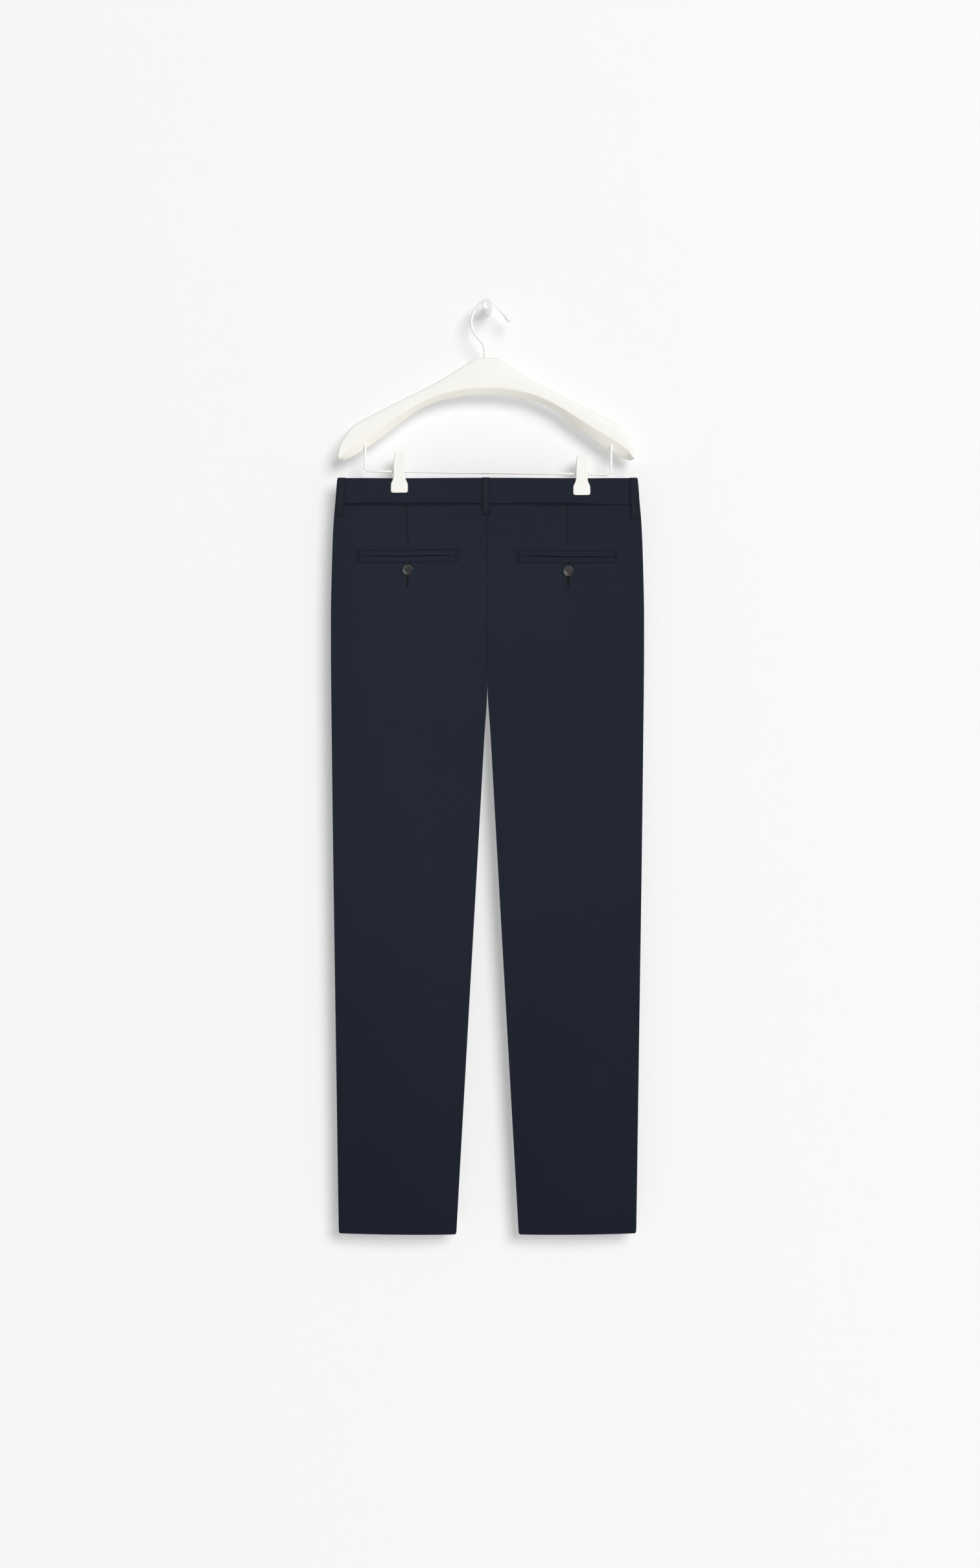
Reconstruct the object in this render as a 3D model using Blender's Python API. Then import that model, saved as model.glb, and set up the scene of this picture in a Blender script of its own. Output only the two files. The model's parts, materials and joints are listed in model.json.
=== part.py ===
"""Chino trousers hung by the waistband from a clip hanger on a wall peg.

Metres, +Z up. The origin is the centre of the peg's flat end on the wall, the
wall is the plane y = 0 and the trousers hang in front of it, at y below zero.
Their back faces -Y, away from the wall, and the wearer's left leg is at -X.
"""
import math
from collections import namedtuple

import bmesh
import bpy
from mathutils import Vector

MM = 0.001

# Driving sizes in millimetres
HANG_Y = -32.0          # the plane in which hanger and trousers hang
SEAM_GAP = 0.3          # between two pieces that are sewn or that touch
WALL = 1.3              # one layer of chino twill
HEM_WALL = 2.4          # the turned-up hem, two layers
HEM_DEPTH = 20.0
BAND_WALL = 2.0         # the waistband is folded double
BAND_TOP = -240.0
BAND_BOTTOM = -276.2
BAND_HALF_TOP = 210.4   # half width of the waistband at its upper edge
BAND_HALF_BOTTOM = 213.2
BAND_END_RADIUS = 4.0   # the waistband's fold at the side
BAND_TONGUE = 20.0      # the left end laps over the right one at the front
LOOP_WIDTH = 11.0
LOOP_WALL = 1.2
LOOP_BOW = 1.8          # how far a belt loop stands off the band
TRIM_WALL = 1.0         # pocket welts, pocket edges and fly
PEG_RADIUS = 7.15
PEG_LENGTH = 50.0
HOOK_RADIUS = 1.8
BAR_RADIUS = 1.7
HANGER_HALF_THICK = 6.5
CLIP_X = (-123.3, 131.7)
PINCH_HALF = 14.0       # half width of the flat pinched zone at a clip
BAR_LEFT = (-171.1, -230.2)    # corner of the clip bar, before rounding
BAR_RIGHT = (172.9, -234.5)
BAR_SOCKET_TOP = -183.0        # how far up the bar's ends reach into the arms
BAR_BEND = 6.0

# Cross-sections of the trousers from the waistband seam down to the hem. outer
# is the side edge, inner the inseam (0 above the fork), depth the half depth,
# pinch the share of the waistband's pinched shape, centre the share of the
# depth that stays at the centre seam, roll the width over which the side rounds.
Section = namedtuple("Section", "height outer inner depth pinch centre roll")
SECTIONS = (
    Section(-276.5, 213.2, 0.0, 9.0, 1.00, 1.00, 11.0),
    Section(-298.0, 215.1, 0.0, 10.0, 0.85, 1.00, 18.0),
    Section(-325.0, 216.5, 0.0, 11.5, 0.60, 1.00, 32.0),
    Section(-352.0, 217.4, 0.0, 13.0, 0.38, 1.00, 46.0),
    Section(-385.0, 218.3, 0.0, 14.5, 0.18, 0.98, 60.0),
    Section(-433.0, 219.1, 0.0, 15.5, 0.00, 0.88, 72.0),
    Section(-480.0, 219.1, 0.0, 15.5, 0.00, 0.60, 82.0),
    Section(-527.5, 218.8, 0.0, 15.0, 0.00, 0.00, 92.0),
    Section(-600.0, 218.0, 4.2, 14.0, 0.00, 0.00, 96.0),
    Section(-750.0, 216.2, 12.6, 12.5, 0.00, 0.00, 96.0),
    Section(-930.0, 213.6, 22.8, 11.5, 0.00, 0.00, 92.0),
    Section(-1110.0, 210.9, 33.0, 10.5, 0.00, 0.00, 88.0),
    Section(-1277.5, 208.4, 42.5, 10.0, 0.00, 0.00, 84.0),
    Section(-1297.5, 208.0, 43.6, 10.0, 0.00, 0.00, 82.0),
)
FORK = -527.5
HEM = -1297.5
BACK, FRONT = -1, 1      # which way a panel faces, along Y
LEFT, RIGHT = -1, 1      # the wearer's left is at -X
FRONT_SHARE = 0.88       # the front lies a little flatter than the seat

# Belt loops: facing, x at the top, x at the foot, height of the foot
Loop = namedtuple("Loop", "name facing top_x foot_x foot")
LOOPS = (
    Loop("belt_loop_centre_back", BACK, -2.4, -1.9, -292.3),
    Loop("belt_loop_side_left", BACK, -204.0, -206.6, -293.4),
    Loop("belt_loop_side_right", BACK, 204.0, 206.3, -297.9),
    Loop("belt_loop_front_left", FRONT, -82.0, -82.0, -294.0),
    Loop("belt_loop_front_right", FRONT, 84.0, 84.0, -294.0),
)

# Back pockets: side, inner and outer end, height of the mouth, button centre
Pocket = namedtuple("Pocket", "side near far mouth button_x button_z")
POCKETS = (
    Pocket(LEFT, 41.5, 181.2, -349.7, -111.9, -369.2),
    Pocket(RIGHT, 41.2, 180.2, -350.6, 112.5, -370.8),
)
WELT_HEIGHT = 7.6
BUTTON_RADIUS = 7.7
BUTTON_HOLE_RADIUS = 0.75
BUTTON_HOLE_OFFSET = 1.45
WAIST_BUTTON = (9.0, -258.0)
WAIST_BUTTON_RADIUS = 8.5

# Slanted front pocket edges, from the waistband seam to the side, and the fly
POCKET_SLANT = ((172.0, -277.5), (205.0, -432.0))
POCKET_EDGE_WIDTH = 7.0
FLY_WIDTH = 38.0
FLY_FOOT = -446.0

# Hanger body: matching points of its upper and lower edge, centre to tip, and the
# height of its underside, which slants from the near face down to the far one
Arm = namedtuple("Arm", "top_x top_z low_x low_z undercut")
ARM = (
    Arm(0.0, -72.8, 0.0, -123.2, 9.2),
    Arm(14.5, -73.0, 13.0, -123.4, 9.2),
    Arm(24.0, -78.5, 24.0, -124.0, 9.0),
    Arm(42.1, -90.2, 40.0, -126.0, 8.5),
    Arm(75.1, -109.6, 66.0, -131.5, 7.2),
    Arm(120.9, -132.4, 98.0, -146.5, 8.0),
    Arm(164.3, -154.6, 140.0, -178.0, 12.0),
    Arm(187.8, -169.0, 166.0, -196.8, 14.8),
    Arm(202.2, -188.5, 187.0, -209.5, 13.0),
    Arm(207.6, -207.5, 200.5, -214.8, 5.0),
)
HANGER_X = -1.5          # the hanger hangs a little left of the centre line

# Route of the hook's wire, from inside the neck over the peg to its tip
HOOK_X = -4.2
HOOK_ROUTE = (
    (HOOK_X, -84.0), (HOOK_X, -70.0), (HOOK_X, -57.5), (-7.6, -50.2), (-14.6, -41.8),
    (-20.4, -32.6), (-22.6, -22.8), (-21.2, -12.4), (-16.4, -2.4), (-8.6, 5.9),
    (0.6, 9.5), (9.8, 4.0), (18.6, -5.8), (26.6, -14.6), (32.6, -21.0),
)
HOOK_TIP_SWELL = 1.35

# One jaw of a clip: height above the bar, half width, inner face, thickness
Jaw = namedtuple("Jaw", "rise half_width inside thick")
JAW = (
    Jaw(26.0, 6.4, 8.4, 1.6),
    Jaw(24.6, 7.7, 8.0, 2.4),
    Jaw(10.0, 7.7, 6.2, 2.6),
    Jaw(0.0, 7.7, 4.9, 2.8),
    Jaw(-8.0, 7.8, 3.9, 2.8),
    Jaw(-12.5, 9.4, 2.9, 2.8),
    Jaw(-17.0, 12.0, 2.5, 2.7),
    Jaw(-21.0, 12.3, 2.5, 2.6),
    Jaw(-27.0, 12.3, 2.5, 2.4),
    Jaw(-29.7, 10.2, 2.6, 1.9),
)
BARREL_RADIUS = 4.5
BARREL_HALF = 6.0

Finish = namedtuple("Finish", "colour roughness metallic")
FINISHES = {
    "cloth": Finish((0.019, 0.023, 0.034), 0.90, 0.0),
    "horn": Finish((0.10, 0.085, 0.075), 0.35, 0.0),
    "white_plastic": Finish((0.86, 0.85, 0.81), 0.40, 0.0),
    "white_wire": Finish((0.88, 0.88, 0.86), 0.35, 0.0),
    "peg": Finish((0.80, 0.80, 0.79), 0.25, 0.0),
}


# ---------------------------------------------------------------- helpers

def clear_scene():
    for obj in list(bpy.data.objects):
        bpy.data.objects.remove(obj, do_unlink=True)


def material(name):
    """The Principled material of one finish, made on first use."""
    mat = bpy.data.materials.get(name)
    if mat is None:
        finish = FINISHES[name]
        mat = bpy.data.materials.new(name)
        mat.use_nodes = True
        shader = mat.node_tree.nodes["Principled BSDF"]
        shader.inputs["Base Color"].default_value = (*finish.colour, 1.0)
        shader.inputs["Roughness"].default_value = finish.roughness
        shader.inputs["Metallic"].default_value = finish.metallic
    return mat


def link(name, data, finish):
    obj = bpy.data.objects.new(name, data)
    data.materials.append(material(finish))
    bpy.context.scene.collection.objects.link(obj)
    return obj


def finish_mesh(name, bm, finish, smooth_below=math.radians(40)):
    """Turn a bmesh into a named object with outward faces."""
    bmesh.ops.recalc_face_normals(bm, faces=bm.faces)
    mesh = bpy.data.meshes.new(name)
    bm.to_mesh(mesh)
    bm.free()
    mesh.shade_smooth()
    mesh.set_sharp_from_angle(angle=smooth_below)
    return link(name, mesh, finish)


def loft(name, rings, finish):
    """A closed solid through rings of equally many points in millimetres."""
    bm = bmesh.new()
    rows = [[bm.verts.new(Vector(p) * MM) for p in ring] for ring in rings]
    count = len(rows[0])
    for upper, lower in zip(rows, rows[1:]):
        for i in range(count):
            j = (i + 1) % count
            bm.faces.new((upper[i], upper[j], lower[j], lower[i]))
    bm.faces.new(rows[0])
    bm.faces.new(rows[-1])
    return finish_mesh(name, bm, finish)


def sheet_solid(name, outer, inner, finish):
    """A closed wall between two grids of points of the same shape."""
    bm = bmesh.new()
    grids = [[[bm.verts.new(Vector(p) * MM) for p in row] for row in grid]
             for grid in (outer, inner)]
    rows, cols = len(outer), len(outer[0])
    for grid in grids:
        for r in range(rows - 1):
            for c in range(cols - 1):
                bm.faces.new((grid[r][c], grid[r][c + 1],
                              grid[r + 1][c + 1], grid[r + 1][c]))
    border = ([(0, c) for c in range(cols)]
              + [(r, cols - 1) for r in range(1, rows)]
              + [(rows - 1, c) for c in range(cols - 2, -1, -1)]
              + [(r, 0) for r in range(rows - 2, 0, -1)])
    for (r0, c0), (r1, c1) in zip(border, border[1:] + border[:1]):
        bm.faces.new((grids[0][r0][c0], grids[0][r1][c1],
                      grids[1][r1][c1], grids[1][r0][c0]))
    return finish_mesh(name, bm, finish)


def steps(start, end, count):
    """count + 1 evenly spaced values from start to end."""
    return [start + (end - start) * i / count for i in range(count + 1)]


def smooth(t):
    t = min(max(t, 0.0), 1.0)
    return t * t * (3.0 - 2.0 * t)


def rise(t):
    """0 at an edge, 1 and level from t = 1 on, with a finite slope at 0."""
    return 1.0 - (1.0 - min(max(t, 0.0), 1.0)) ** 2.2


def eased(heights, values, z):
    """A curve through the table's values that never overshoots them."""
    slopes = [(v1 - v0) / (h1 - h0) for h0, h1, v0, v1
              in zip(heights, heights[1:], values, values[1:])]
    tangents = [slopes[0]]
    for a, b in zip(slopes, slopes[1:]):
        tangents.append(2 * a * b / (a + b) if a * b > 0 else 0.0)
    tangents.append(slopes[-1])
    for i in range(len(slopes)):
        if z >= heights[i + 1] or i == len(slopes) - 1:
            span = heights[i + 1] - heights[i]
            t = (z - heights[i]) / span
            return ((2 * t ** 3 - 3 * t * t + 1) * values[i]
                    + (t ** 3 - 2 * t * t + t) * span * tangents[i]
                    + (3 * t * t - 2 * t ** 3) * values[i + 1]
                    + (t ** 3 - t * t) * span * tangents[i + 1])


def through(points, per_span):
    """A smooth curve through points of any dimension, ends included."""
    ends = [[2 * a - b for a, b in zip(points[0], points[1])],
            [2 * a - b for a, b in zip(points[-1], points[-2])]]
    knots = [ends[0], *points, ends[1]]
    curve = []
    for p0, p1, p2, p3 in zip(knots, knots[1:], knots[2:], knots[3:]):
        for step in range(per_span):
            t = step / per_span
            curve.append(tuple(
                0.5 * (2 * b + (c - a) * t + (2 * a - 5 * b + 4 * c - d) * t * t
                       + (3 * b - a - 3 * c + d) * t ** 3)
                for a, b, c, d in zip(p0, p1, p2, p3)))
    curve.append(tuple(points[-1]))
    return curve


# ---------------------------------------------------------------- the cloth's form

HEIGHTS = [row.height for row in SECTIONS]
COLUMNS = {field: [getattr(row, field) for row in SECTIONS] for field in Section._fields}


def section(z):
    return Section(z, *(eased(HEIGHTS, COLUMNS[field], z) for field in Section._fields[1:]))


def band_half(z):
    """Half width of the waistband at a height."""
    t = (z - BAND_TOP) / (BAND_BOTTOM - BAND_TOP)
    return BAND_HALF_TOP + (BAND_HALF_BOTTOM - BAND_HALF_TOP) * t


def waist_depth(x):
    """Half depth of the waistband: pinched at the clips, bowed open between."""
    shut = BAND_WALL + SEAM_GAP / 2
    left, right = CLIP_X[0] + PINCH_HALF, CLIP_X[1] - PINCH_HALF
    if left < x < right:
        return shut + 5.6 * math.sin(math.pi * (x - left) / (right - left)) ** 1.3
    beyond = (CLIP_X[0] - PINCH_HALF - x) if x < 0 else (x - CLIP_X[1] - PINCH_HALF)
    return shut + (BAND_END_RADIUS - shut) * smooth(beyond / 34.0)


def panel_depth(x, z):
    """Half depth of the outer face of the trousers below the waistband."""
    row = section(z)
    edge = WALL + SEAM_GAP / 2
    if z < HEM + HEM_DEPTH:
        edge = HEM_WALL + SEAM_GAP / 2
    side = rise((row.outer - abs(x)) / row.roll)
    leg_half = (row.outer - row.inner) / 2
    seam = row.centre + (1 - row.centre) * rise((abs(x) - row.inner) / leg_half)
    body = row.depth * (1 - row.pinch) + (waist_depth(x) - 0.5) * row.pinch
    return max(edge + (body - edge) * side * seam, edge)


def panel_point(facing, x, z, out=0.0):
    """A point on a panel's outer face, moved out along Y by a distance."""
    share = 1.0 if facing == BACK else FRONT_SHARE + (1 - FRONT_SHARE) * section(z).pinch
    edge = WALL + SEAM_GAP / 2
    depth = edge + (panel_depth(x, z) - edge) * share
    return (x, HANG_Y + facing * (depth + out), z)


def band_point(facing, x, z, out=0.0):
    """A point on the waistband's outer face, also round its end at the side."""
    end = band_half(z) - BAND_END_RADIUS
    depth = waist_depth(x)
    if abs(x) > end:
        over = min(abs(x) - end, BAND_END_RADIUS)
        depth = math.sqrt(BAND_END_RADIUS ** 2 - over ** 2)
    return (x, HANG_Y + facing * (depth + out), z)


# ---------------------------------------------------------------- cloth pieces

PANEL_COLUMNS = (0.0, 0.06, 0.14, 0.24, 0.35, 0.46, 0.56, 0.65, 0.74, 0.83, 0.91, 0.965, 1.0)
ROWS_PER_SECTION = (2, 2, 2, 2, 2, 2, 3, 3, 3, 3, 3, 3, 1)


def panel_rows():
    heights = []
    for top, low, count in zip(HEIGHTS, HEIGHTS[1:], ROWS_PER_SECTION):
        heights += steps(top, low, count)[:-1]
    heights.append(HEM)
    hem_top = HEM + HEM_DEPTH
    return sorted(heights + [hem_top - 1.0], reverse=True)


def make_panel(name, facing, side):
    outer, inner = [], []
    for z in panel_rows():
        row = section(z)
        wall = HEM_WALL if z < HEM + HEM_DEPTH else WALL
        near = row.inner + SEAM_GAP / 2
        xs = [side * (near + (row.outer - near) * u) for u in PANEL_COLUMNS]
        outer.append([panel_point(facing, x, z) for x in xs])
        inner.append([panel_point(facing, x, z, -wall) for x in xs])
    return sheet_solid(name, outer, inner, "cloth")


def make_band(name, side):
    """One half of the waistband, from the centre back round the side to the front."""
    heights = (BAND_TOP, BAND_BOTTOM)
    clip = abs(CLIP_X[0] if side == LEFT else CLIP_X[1])
    flat = ([SEAM_GAP / 2, 12.0, 30.0, 50.0, 70.0, 88.0, clip - PINCH_HALF - 8, clip - PINCH_HALF,
             clip, clip + PINCH_HALF, clip + PINCH_HALF + 12, clip + PINCH_HALF + 24, 190.0])
    rings = []

    def ring(points_at):
        (ot, ob), (it, ib) = ([points_at(z, out) for z in heights] for out in (0.0, -BAND_WALL))
        rings.append((ot, ob, ib, it))

    for x in flat:
        ring(lambda z, out, x=x: band_point(BACK, side * x, z, out))
    for angle in steps(-90.0, 90.0, 8):
        def bend(z, out, angle=math.radians(angle)):
            radius = BAND_END_RADIUS + out
            return (side * (band_half(z) - BAND_END_RADIUS + radius * math.cos(angle)),
                    HANG_Y + radius * math.sin(angle), z)
        ring(bend)
    for x in reversed(flat):
        if side == LEFT and x < 12.0:
            continue
        ring(lambda z, out, x=x: band_point(FRONT, side * x, z, out))
    if side == LEFT:
        lap = BAND_WALL + SEAM_GAP
        for x, lift in ((-7.0, 0.35), (-2.0, 1.0), (6.0, 1.0), (14.0, 1.0), (BAND_TONGUE, 1.0)):
            ring(lambda z, out, x=x, lift=lift: band_point(FRONT, x, z, out + lap * lift))
    return loft(name, rings, "cloth")


def lay_on(name, facing, edges, cols, rows, lift=SEAM_GAP, wall=TRIM_WALL):
    """A strip on a panel, made from the panel's own points moved out.

    edges(t) gives the two ends of the strip's row at t, from 0 to 1.
    """
    outer, inner = [], []
    for r in range(rows + 1):
        (x0, z0), (x1, z1) = edges(r / rows)
        cells = [(x0 + (x1 - x0) * c / cols, z0 + (z1 - z0) * c / cols) for c in range(cols + 1)]
        outer.append([panel_point(facing, x, z, lift + wall) for x, z in cells])
        inner.append([panel_point(facing, x, z, lift) for x, z in cells])
    return sheet_solid(name, outer, inner, "cloth")


def make_loop(loop):
    """A belt loop, sewn at the band's upper edge and below its seam."""
    rows, cols = 8, 4
    outer, inner = [], []
    top, foot = BAND_TOP + 0.6, loop.foot
    for r in range(rows + 1):
        t = r / rows
        z = top + (foot - top) * t
        middle = loop.top_x + (loop.foot_x - loop.top_x) * t
        bow = LOOP_BOW * math.sin(math.pi * t) ** 0.6
        outer_row, inner_row = [], []
        for c in range(cols + 1):
            x = middle + LOOP_WIDTH * (c / cols - 0.5)
            above = band_point(loop.facing, x, top)[1]
            below = panel_point(loop.facing, x, foot)[1]
            surface = band_point if z > BAND_BOTTOM else panel_point
            under = max(loop.facing * surface(loop.facing, x + dx, z)[1]
                        for dx in (-LOOP_WIDTH / cols, 0.0, LOOP_WIDTH / cols))
            straight = above + (below - above) * t
            clear = max(under, loop.facing * straight) + SEAM_GAP
            y = loop.facing * (clear + bow)
            inner_row.append((x, y, z))
            outer_row.append((x, y + loop.facing * LOOP_WALL, z))
        outer.append(outer_row)
        inner.append(inner_row)
    return sheet_solid(loop.name, outer, inner, "cloth")


def make_welts(pocket, side_name):
    """The two welts that frame a back pocket's mouth."""
    near, far = pocket.side * pocket.near, pocket.side * pocket.far
    for part, sign in (("upper", 1), ("lower", -1)):
        start = pocket.mouth + sign * SEAM_GAP / 2

        def edges(t, start=start, sign=sign):
            z = start + sign * WELT_HEIGHT * t
            return (near, z), (far, z)
        lay_on(f"back_welt_{part}_{side_name}", BACK, edges, cols=8, rows=1)


def make_pocket_edge(side, side_name):
    """The turned edge of a slanted front pocket."""
    (x0, z0), (x1, z1) = POCKET_SLANT

    def edges(t):
        x, z = x0 + (x1 - x0) * t, z0 + (z1 - z0) * t
        return (side * (x - POCKET_EDGE_WIDTH), z), (side * x, z)
    lay_on(f"front_pocket_edge_{side_name}", FRONT, edges, cols=2, rows=9)


def make_fly():
    """The fly cover on the wearer's left front, curved in at its foot."""
    top = BAND_BOTTOM - 1.0

    def edges(t):
        z = top + (FLY_FOOT - top) * t
        curve = math.sqrt(max(1 - max((t - 0.72) / 0.28, 0.0) ** 2, 0.012))
        return (-FLY_WIDTH * curve, z), (-0.8, z)
    lay_on("fly_cover", FRONT, edges, cols=3, rows=14)


def make_button(name, x, y, z, facing, radius):
    """A four-hole button with a raised rim, its back at y."""
    profile = ((0.0, 0.0), (radius * 0.80, 0.0), (radius * 0.97, 0.9), (radius, 1.6),
               (radius * 0.95, 2.5), (radius * 0.84, 2.8), (radius * 0.72, 2.5),
               (radius * 0.62, 1.9), (0.0, 1.9))
    segments = 24
    bm = bmesh.new()
    rings = []
    for r, out in profile:
        if r == 0.0:
            rings.append([bm.verts.new(Vector((x, y + facing * out, z)) * MM)])
            continue
        rings.append([bm.verts.new(Vector((x + r * math.cos(a), y + facing * out,
                                           z + r * math.sin(a))) * MM)
                      for a in steps(0.0, 2 * math.pi, segments)[:-1]])
    for lower, upper in zip(rings, rings[1:]):
        for i in range(segments):
            j = (i + 1) % segments
            corners = [lower[i % len(lower)], lower[j % len(lower)],
                       upper[j % len(upper)], upper[i % len(upper)]]
            bm.faces.new(list(dict.fromkeys(corners)))
    button = finish_mesh(name, bm, "horn")
    for index, (dx, dz) in enumerate(((1, 1), (1, -1), (-1, 1), (-1, -1))):
        centre = (x + dx * BUTTON_HOLE_OFFSET, y + facing * 1.4, z + dz * BUTTON_HOLE_OFFSET)
        drill(button, f"{name}_hole_{index}", BUTTON_HOLE_RADIUS, 8.0, (math.pi / 2, 0, 0), centre)


def seat_of_button(surface, facing, x, z):
    """The place along Y of a button's back, clear of the cloth all round it."""
    reach = 7.0
    places = [surface(facing, x + dx, z + dz)[1] for dx in (-reach, 0.0, reach)
              for dz in (-reach, 0.0, reach)]
    return (max(places) if facing == FRONT else min(places)) + facing * (SEAM_GAP + 0.1)


def drill_upright(obj, name, wire_radius, x, low, high):
    """Cut a socket for a wire that stands in the hanging plane."""
    drill(obj, name, wire_radius + SEAM_GAP, high - low, (0, 0, 0),
          (x, HANG_Y, (low + high) / 2))


def drill(obj, name, radius, length, rotation, centre):
    """Cut a round hole of a length, centred at a point and turned from upright."""
    bpy.ops.mesh.primitive_cylinder_add(vertices=12, radius=radius * MM, depth=length * MM,
                                        location=Vector(centre) * MM)
    cutter = bpy.context.object
    cutter.name = name
    cutter.rotation_euler = rotation
    cutter.hide_render = True
    cutter.display_type = "WIRE"
    cut = obj.modifiers.new(name, "BOOLEAN")
    cut.operation = "DIFFERENCE"
    cut.object = cutter


# ---------------------------------------------------------------- hanger and peg

def make_hanger_body():
    """The moulded hanger: arms with rounded tops and a slanted underside."""
    half = through([tuple(arm) for arm in ARM], 2)
    mirrored = [(-a, b, -c, d, e) for a, b, c, d, e in reversed(half[1:])]
    rings = []
    for top_x, top_z, low_x, low_z, slant in mirrored + half:
        top = Vector((HANGER_X + top_x, 0, top_z))
        low = Vector((HANGER_X + low_x, 0, low_z))
        along = low - top
        bevel = along * min(2.0 / along.length, 0.25)
        undercut = along * min(slant / along.length, 0.6)
        full, flat = HANGER_HALF_THICK, HANGER_HALF_THICK - 2.0
        ring = []
        for place, depth in ((top, -flat), (top + bevel, -full), (low - undercut, -full),
                             (low, flat), (low - bevel, full),
                             (top + bevel, full), (top, flat)):
            ring.append((place.x, HANG_Y + depth, place.z))
        rings.append(ring)
    body = loft("hanger_body", rings, "white_plastic")
    drill_upright(body, "hook_socket", HOOK_RADIUS, HOOK_X, HOOK_ROUTE[0][1] - SEAM_GAP,
                  HOOK_ROUTE[2][1])
    for name, corner in (("left", BAR_LEFT), ("right", BAR_RIGHT)):
        drill_upright(body, f"bar_socket_{name}", BAR_RADIUS, corner[0], corner[1],
                      BAR_SOCKET_TOP + SEAM_GAP)


def make_wire(name, points, radius, finish, swell=None):
    """A round wire along points (x, z) in the hanging plane."""
    data = bpy.data.curves.new(name, "CURVE")
    data.dimensions = "3D"
    data.bevel_depth = radius * MM
    data.bevel_resolution = 2
    data.use_fill_caps = True
    line = data.splines.new("POLY")
    line.points.add(len(points) - 1)
    for i, (x, z) in enumerate(points):
        line.points[i].co = (x * MM, HANG_Y * MM, z * MM, 1.0)
        line.points[i].radius = swell(i) if swell else 1.0
    return link(name, data, finish)


def make_hook():
    points = through(HOOK_ROUTE, 3)
    last = len(points) - 1
    tip = {last: 0.55, last - 1: 1.15, last - 2: HOOK_TIP_SWELL, last - 3: 1.15}
    make_wire("hanger_hook", points, HOOK_RADIUS, "white_wire", lambda i: tip.get(i, 1.0))


def make_clip_bar():
    """The U-shaped wire under the arms, on which the clips slide."""
    (x0, z0), (x1, z1) = BAR_LEFT, BAR_RIGHT
    bend = BAR_BEND
    points = [(x0, BAR_SOCKET_TOP)] + [(x0, z) for z in steps(BAR_SOCKET_TOP - 15, z0 + bend, 1)]
    for angle in steps(180.0, 270.0, 5)[1:]:
        a = math.radians(angle)
        points.append((x0 + bend + bend * math.cos(a), z0 + bend + bend * math.sin(a)))
    for angle in steps(270.0, 360.0, 5):
        a = math.radians(angle)
        points.append((x1 - bend + bend * math.cos(a), z1 + bend + bend * math.sin(a)))
    points += [(x1, BAR_SOCKET_TOP - 15), (x1, BAR_SOCKET_TOP)]
    make_wire("clip_bar", points, BAR_RADIUS, "white_wire")


def bar_height(x):
    (x0, z0), (x1, z1) = BAR_LEFT, BAR_RIGHT
    t = (x - x0 - BAR_BEND) / (x1 - x0 - 2 * BAR_BEND)
    return z0 + (z1 - z0) * t


def make_clip(x, side_name):
    """Two jaws that pinch the waistband and the barrel that rides on the bar."""
    centre = bar_height(x)
    for name, facing in (("near", BACK), ("far", FRONT)):
        rings = []
        for jaw in JAW:
            z = centre + jaw.rise
            inside = HANG_Y + facing * jaw.inside
            outside = HANG_Y + facing * (jaw.inside + jaw.thick)
            rounding = min(0.8, jaw.thick / 2)
            near_edge = outside - facing * rounding
            half = jaw.half_width
            rings.append([(x - half, inside, z), (x + half, inside, z), (x + half, near_edge, z),
                          (x + half - rounding, outside, z), (x - half + rounding, outside, z),
                          (x - half, near_edge, z)])
        loft(f"clip_jaw_{name}_{side_name}", rings, "white_plastic")
    tilt = math.atan2(BAR_RIGHT[1] - BAR_LEFT[1], BAR_RIGHT[0] - BAR_LEFT[0] - 2 * BAR_BEND)
    outline = ((BARREL_RADIUS, -1), (BARREL_RADIUS, 1),
               (BAR_RADIUS + SEAM_GAP, 1), (BAR_RADIUS + SEAM_GAP, -1))
    bm = bmesh.new()
    rings = []
    for angle in steps(0.0, 2 * math.pi, 16)[:-1]:
        ring = []
        for radius, end in outline:
            along, up = end * BARREL_HALF, radius * math.sin(angle)
            ring.append(bm.verts.new(Vector((x + along * math.cos(tilt) - up * math.sin(tilt),
                                             HANG_Y + radius * math.cos(angle),
                                             centre + along * math.sin(tilt)
                                             + up * math.cos(tilt))) * MM))
        rings.append(ring)
    for i, ring in enumerate(rings):
        after = rings[(i + 1) % len(rings)]
        for a in range(4):
            b = (a + 1) % 4
            bm.faces.new((ring[a], ring[b], after[b], after[a]))
    finish_mesh(f"clip_barrel_{side_name}", bm, "white_plastic")


def make_peg():
    """The round wall peg; its flat end lies on the wall."""
    bevel = 0.9
    rings = []
    for out, radius in ((0.0, PEG_RADIUS), (PEG_LENGTH - bevel, PEG_RADIUS),
                        (PEG_LENGTH - 0.25, PEG_RADIUS - 0.35), (PEG_LENGTH, PEG_RADIUS - bevel)):
        rings.append([(radius * math.cos(a), -out, radius * math.sin(a))
                      for a in steps(0.0, 2 * math.pi, 32)[:-1]])
    loft("wall_peg", rings, "peg")


# ---------------------------------------------------------------- the whole

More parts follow.
